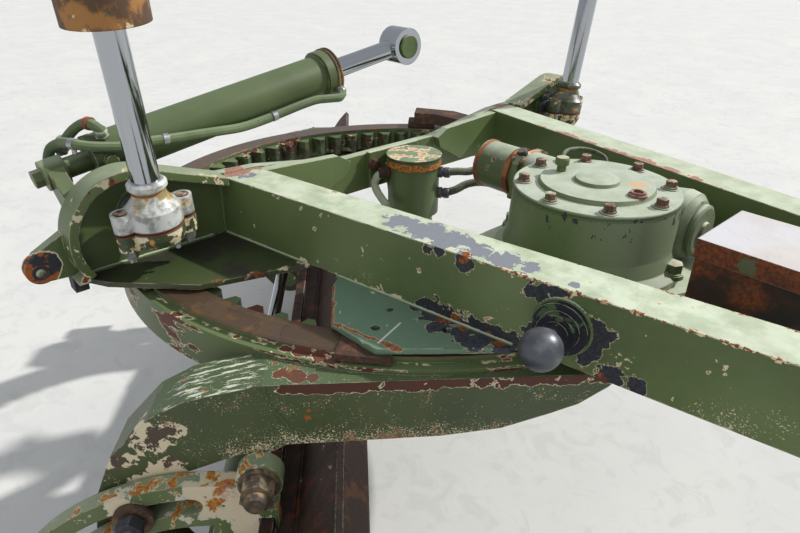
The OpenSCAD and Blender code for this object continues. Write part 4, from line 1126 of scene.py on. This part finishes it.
def motor_fittings():
    heads = bmesh.new()
    for i in range(4):
        turn = math.radians(45 + 90 * i)
        place = ring(282, MOTOR_Y + 66 * math.cos(turn), MOTOR_Z + 66 * math.sin(turn))
        hexagon(heads, place, (-1, 0, 0), 17, 9, 0.4 * i)
        hexagon(heads, place + Vector((18, 0, 0)) * MM, (1, 0, 0), 17, 7, 0.2)
    piece(heads, "motor_bolts", "drawbar", bolt_rust)
    nub = bmesh.new()
    solid(nub, [(13, 0), (13, 10), (10, 14)], ring(289, 98, 171), (-0.1, -0.4, 1), 20)
    piece(nub, "case_port", "drawbar", black_rubber)
    ends = bmesh.new()
    for y, z in ((77, -9), (36, -68)):
        fitting(ends, ring(274.7, MOTOR_Y + y, MOTOR_Z + z), (-1, 0, 0), PORT_RADIUS, 12, 24)
    rusty_end = bmesh.new()
    for angle, z in ((35, 78), (35, 18), (-115, 78)):
        turn = math.radians(angle)
        way = Vector((math.cos(turn), math.sin(turn), 0))
        place = ring(0, 0, z) + way * SWIVEL_RADIUS * MM
        fitting(ends if angle > 0 else rusty_end, place, way, PORT_RADIUS, 11, 20)
    for y in (-80, 80):
        hexagon(rusty_end, ring(-80, y, 92), (1, 0, 0), 24, 15, 0.3, 17)
    port_rust = rusty_steel("port_rust", srgb(108, 66, 52), srgb(70, 48, 40))
    piece(rusty_end, "swivel_bolts", "drawbar", port_rust)
    piece(ends, "drive_hose_ends", "drawbar", dark_steel("hose_end_steel", 0.35))
    way = Vector((-math.sin(ARM_ANGLE), math.cos(ARM_ANGLE), 0))
    face = ring(120, -390.1, 60)
    port = bmesh.new()
    fitting(port, face, way, PORT_RADIUS, 12, 30)
    piece(port, "arm_hose_end", "drawbar", bright_steel("pale_steel", srgb(190, 196, 186)))
    pipe = bmesh.new()
    hexagon(pipe, ring(420, 72, COVER_TOP), UP, 17, 9)
    out = Vector((0, math.sin(math.radians(42)), math.cos(math.radians(42))))
    hexagon(pipe, ring(474, MOTOR_Y, MOTOR_Z) + out * 62 * MM, out, 17, 9)
    piece(pipe, "breather_pipe_nuts", "drawbar", bright)


# Drawbar

def arm_side_y(x, out):
    """Distance of an arm's inner (out=-1) or outer (out=1) face from the centre line, in mm."""
    return (ARMS_MEET_X - x) * math.tan(ARM_ANGLE) + out * ARM_HALF_WIDTH


def drawbar_welds():
    beads = bmesh.new()
    for side in SIDES:
        for x0, x1, out in ((255, 660, 1), (255, 660, -1), (-90, 160, 1), (-90, 160, -1)):
            ends = [ring(x, side * (arm_side_y(x, out) + out * 1.5), 17) for x in (x0, x1)]
            bead(beads, ends, 4.5)
        for out in (-1, 1):
            y = side * (arm_side_y(-95, out) + out * 1.5)
            bead(beads, [ring(ARM_BACK_X, y, 22), ring(ARM_BACK_X, y, 156)], 5)
        bead(beads, [ring(-93, side * 560, 19), ring(-93, side * 850, 19)], 5)
        bead(beads, [ring(x, side * (arm_side_y(x, -1) - 1), 28.5) for x in (340, 990)], 4.5)
        if side < 0:
            boss = ring(SPARE_BALL[0], side * arm_side_y(SPARE_BALL[0], 1), SPARE_BALL[2])
            out = Vector((math.sin(ARM_ANGLE), side * math.cos(ARM_ANGLE), 0))
            along = Vector((math.cos(ARM_ANGLE), -side * math.sin(ARM_ANGLE), 0))
            bead(beads, arc(boss + out * MM, along, UP, 49, 0, 360, 60), 4)
        centre = ring(-93.5, 720 * side, 126)
        bead(beads, arc(centre, Vector((0, 1, 0)), UP, 47.5, 0, 360, 60), 4.5)
    for y in (-40, 40):
        bead(beads, [ring(-93, y, 31), ring(-93, y, 84)], 4)
    piece(beads, "drawbar_welds", "drawbar", plain_green, 80)


def circle_welds():
    beads = bmesh.new()
    for side in SIDES:
        w = CIRCLE_ARM_W * side
        bead(beads, [turned(-324, w, -20), turned(-318, w, -60), turned(-269, w, -147)], 3)
        rim = CIRCLE_RADIUS + 1.5
        for end, reach in ((-1, CIRCLE_ARM_W - 105), (1, CIRCLE_ARM_W - 1)):
            start = math.degrees(math.acos(min(1, reach / rim)))
            first, second = turned_way(0, side), turned_way(-1, 0)
            bead(beads, arc(turned(0, 0, -24), first, second, rim, start * end, 24 * end, 12), 4)
    piece(beads, "circle_welds", "circle", circle_arm, 80)


def wing_fittings():
    pins = bmesh.new()
    place = ring(-95, -933, 49)
    solid(pins, [(16, -30), (16, 1)], place, (1, 0, 0), 28)
    piece(pins, "wing_pin_bush", "drawbar", dark_steel("wing_pin_steel", 0.6))
    head = bmesh.new()
    solid(head, [(9, 0), (9, 2), (7, 3.2), (2, 3.2), (1.5, 2.4)], place, (1, 0, 0), 24)
    piece(head, "wing_pin_head", "drawbar", bright_steel("pin_head", srgb(178, 174, 152)))
    block = bmesh.new()
    start = ring(-112, -866, -1)
    prism(block, 4, start, (0, 1, 0), 24, -14, 14, math.pi / 4, 0.1)
    piece(block, "line_block", "drawbar", dark_steel("line_block_steel", 0.6))
    ends = bmesh.new()
    way = Vector((0.05, 1, -0.03)).normalized()
    solid(ends, [(11, 12), (11, 26), (8, 27), (8, 30), (10.5, 31), (10.5, 54)], start, way, 24)
    piece(ends, "line_coupling", "drawbar", bright_steel("coupling_steel", srgb(134, 138, 132)))
    line = bmesh.new()
    points = [start + way * d * MM for d in (50, 70, 90)]
    points += [start + way * 120 * MM - UP * 4 * MM, start + way * 150 * MM - UP * 12 * MM]
    tube(line, points, lambda i: 0.0072, 14)
    piece(line, "line_hose", "drawbar", black_rubber)


# Ball caps and cylinders

def cap_fittings():
    for side, name in SIDES.items():
        body = f"lift_rod_body_{name}"
        up = lifted_way(side, 0, 0, 1)
        heads = bmesh.new()
        nuts = bmesh.new()
        for y in (-CAP_EAR, CAP_EAR):
            hexagon(heads, lifted(side, 0, y, 40), up, 22, 4.5, 0.4 * y)
            foot = lifted(side, 0, y, -38)
            hexagon(nuts, foot, -up, 24, 18, 0.3 * y, 15)
            solid(nuts, [(7.5, 20), (7.5, 30), (6.5, 31)], foot, -up, 20)
        piece(heads, f"cap_bolts_{name}", body, bolt_rust)
        nut_steel = bright_steel(f"cap_nut_steel_{name}", srgb(168, 172, 168))
        piece(nuts, f"cap_nuts_{name}", body, nut_steel)
        nipple = bmesh.new()
        outline = [(7, 0), (7, 7), (4, 8), (4, 12), (5.5, 15), (5.5, 18), (3, 20)]
        solid(nipple, outline, lifted(side, 22, -26, -42.5), -up, 16)
        piece(nipple, f"grease_nipple_{name}", body, bright)


def barrel_fittings():
    hoops = bmesh.new()
    for t in (608, 618):
        hoop(hoops, sloped(0, t, 0), sloped_way(0, 1, 0), 59.5, 2.5, 5, 48)
    piece(hoops, "gland_hoops", "side_shift_barrel_body", gland_rust)
    clips = bmesh.new()
    for point, way in (
        ((33, -52.5, 53), (0.9, 0.35, -0.05)),
        ((62.8, 120, 7.5), (0.02, 1, -0.2)),
        ((51.5, 400, -38.5), (-0.02, 1, 0)),
    ):
        hoop(clips, sloped(*point), sloped_way(*way), 10.6, 1.6, 13, 28)
    lug = sloped_way(0.2, -0.3, -1)
    solid(clips, [(5, 9), (5, 20), (4, 21)], sloped(33, -52.5, 53), lug, 16)
    piece(clips, "hose_clips", "side_shift_barrel_body", bright)
    rust = bmesh.new()
    hoop(rust, sloped(8, -3, 74), sloped_way(-1, -0.3, 0), 10.8, 3.2, 11, 28)
    ring_rust = rusty_steel("pipe_ring_rust", srgb(170, 92, 50), srgb(128, 66, 40))
    piece(rust, "pipe_ring", "side_shift_barrel_body", ring_rust)
    ends = bmesh.new()
    fitting(ends, sloped(20.8, 8, 45), sloped_way(21.3, 0, 46), PORT_RADIUS, 6, 14)
    fitting(ends, sloped(46.6, 609, -37.5), sloped_way(47.2, 0, -38), PORT_RADIUS, 5, 11)
    for start, way in (((-58, -98, -8), (0, -0.28, -1)), ((-54, -56, 30), (-0.4, -0.45, -0.8))):
        out = sloped_way(*way)
        base = sloped(*start) - out.normalized() * 16 * MM
        fitting(ends, base, out, PORT_RADIUS, 26, 4)
        solid(ends, [(8, 20), (8, 38), (6, 40)], base, out, 20)
    plated = bright_steel("hose_end_plate", srgb(170, 176, 160))
    piece(ends, "shift_hose_ends", "side_shift_barrel_body", plated)
    nuts = bmesh.new()
    for side in SIDES:
        solid(nuts, [(32, 0), (32, 4), (30, 6)], sloped(36 * side, 878, 0), (side, 0, 0), 32)
    piece(nuts, "rod_eye_washers", "side_shift_rod_body", bolt_green)


# Circle arms, brackets and blade

def pitch_fittings():
    for side, name in SIDES.items():
        out = turned_way(0, side)
        nuts = bmesh.new()
        place = turned(STUD[0], 852.5 * side, STUD[1])
        hexagon(nuts, place, out, 44, 24, 0.2)
        solid(nuts, [(15.6, 24), (15.6, 32), (13, 34)], place, out, 24)
        piece(nuts, f"stud_nut_{name}", "circle", pin_steel)
        bolts = bmesh.new()
        ear = turned(SLOT_BOLT[0], BRACKET_FACE_W * side, SLOT_BOLT[1])
        solid(bolts, [(37, 0), (37, 5), (35, 7)], ear, out, 36)
        prism(bolts, 6, ear, out, 32, 7, 36, 0.15)
        solid(bolts, [(21, 36), (21, 46), (17, 51)], ear, out, 32)
        piece(bolts, f"ear_bolt_{name}", "pitch_carrier", brown_bolts)
        pins = bmesh.new()
        pivot = turned(PITCH_PIN[0], BRACKET_FACE_W * side, PITCH_PIN[1])
        solid(pins, [(44, 0), (44, 8), (40, 11)], pivot, out, 36)
        hexagon(pins, pivot + out * 11 * MM, out, 50, 22, 0.1)
        piece(pins, f"pivot_bolt_{name}", "pitch_carrier", bolt_rust)


def on_blade(radius, along, w):
    """A point by the cutting edge: radius from the blade's axis and distance below its curve, in mm."""
    u = BLADE_CENTRE[0] + radius * math.cos(BLADE_LOW) - along * math.sin(BLADE_LOW)
    z = BLADE_CENTRE[1] + radius * math.sin(BLADE_LOW) + along * math.cos(BLADE_LOW)
    return turned(u, w, z)


def edge_bolts():
    front = turned_way(-math.cos(BLADE_LOW), 0, -math.sin(BLADE_LOW))
    heads = bmesh.new()
    nuts = bmesh.new()
    for i in range(EDGE_BOLTS):
        w = (i - (EDGE_BOLTS - 1) / 2) * EDGE_BOLT_PITCH + 20
        before = on_blade(EDGE_FRONT, EDGE_BOLT_DROP, w)
        behind = on_blade(BLADE_BACK, EDGE_BOLT_DROP, w)
        solid(heads, [(15, -1), (15, 0.6), (12, 1.6)], before, front, 24)
        hexagon(nuts, behind, -front, 26, 14, random.uniform(0, 1), 17)
        solid(nuts, [(8, 14), (8, 24)], behind, -front, 16)
    piece(heads, "plough_bolts", "blade", edge_steel)
    piece(nuts, "plough_nuts", "blade", bolt_rust)


def rail_welds():
    beads = bmesh.new()
    for height in RAIL_HEIGHTS:
        for z in (height - 9.5, height + 9.5):
            reach = math.sqrt((BLADE_BACK + 0.3) ** 2 - (z - BLADE_CENTRE[1]) ** 2)
            u = BLADE_CENTRE[0] - reach
            bead(beads, [turned(u, -RAIL_HALF_LENGTH, z), turned(u, RAIL_HALF_LENGTH, z)], 5)
    piece(beads, "rail_welds", "blade", moldboard_brown, 80)


for make in (
    gearbox_fittings, motor_fittings, drawbar_welds, circle_welds, wing_fittings,
    cap_fittings, barrel_fittings, pitch_fittings, edge_bolts, rail_welds,
):
    make()


# Floor, lamps and world

FLOOR_HALF = 60.0


def make_stage():
    """A pale concrete floor under the lowest point of the part."""
    mesh = bmesh.new()
    corners = [(-1, -1), (1, -1), (1, 1), (-1, 1)]
    places = [Vector((x * FLOOR_HALF, y * FLOOR_HALF, cad_box[0].z)) for x, y in corners]
    mesh.faces.new([mesh.verts.new(place) for place in places])
    data = bpy.data.meshes.new("floor")
    mesh.to_mesh(data)
    mesh.free()
    floor = bpy.data.objects.new("floor", data)
    bpy.context.scene.collection.objects.link(floor)
    s = Surface("floor_concrete")
    grain = s.noise(2.0, 7.0, 0.62)
    marbling = s.noise(9.0, 9.0, 0.7, shift=3.0, distortion=1.0)
    s.colour = grain.blend(0.3, 0.7, srgb(204, 205, 204), srgb(211, 211, 209))
    s.cover(marbling.rise(0.5, 0.62) * 0.35, srgb(186, 187, 185))
    s.rough = grain * 0.05 + 0.88
    s.height = s.noise(90.0, 4.0) * 0.4
    data.materials.append(s.finish())


def make_lamp(name, azimuth, elevation, strength, spread, colour=(1, 1, 1)):
    """A sun lamp that shines from an azimuth, ccw from +X, and an elevation, in degrees."""
    data = bpy.data.lights.new(name, "SUN")
    data.energy = strength
    data.angle = math.radians(spread)
    data.color = colour
    lamp = bpy.data.objects.new(name, data)
    a, e = math.radians(azimuth), math.radians(elevation)
    towards = Vector((math.cos(a) * math.cos(e), math.sin(a) * math.cos(e), math.sin(e)))
    lamp.rotation_mode = "QUATERNION"
    lamp.rotation_quaternion = towards.to_track_quat("Z", "Y")
    bpy.context.scene.collection.objects.link(lamp)


SKY_COLOUR = (0.93, 0.96, 1.0, 1)
SKY_STRENGTH = 0.55


def make_world():
    world = bpy.data.worlds.new("studio")
    world.use_nodes = True
    bpy.context.scene.world = world
    sky = world.node_tree.nodes["Background"]
    sky.inputs[0].default_value = SKY_COLOUR
    sky.inputs[1].default_value = SKY_STRENGTH


make_stage()
make_lamp("key", azimuth=68, elevation=38, strength=3.9, spread=1.5, colour=(1.0, 0.98, 0.93))
make_lamp("fill", azimuth=-60, elevation=35, strength=0.35, spread=40)
make_world()
bpy.context.scene.view_settings.view_transform = "Standard"
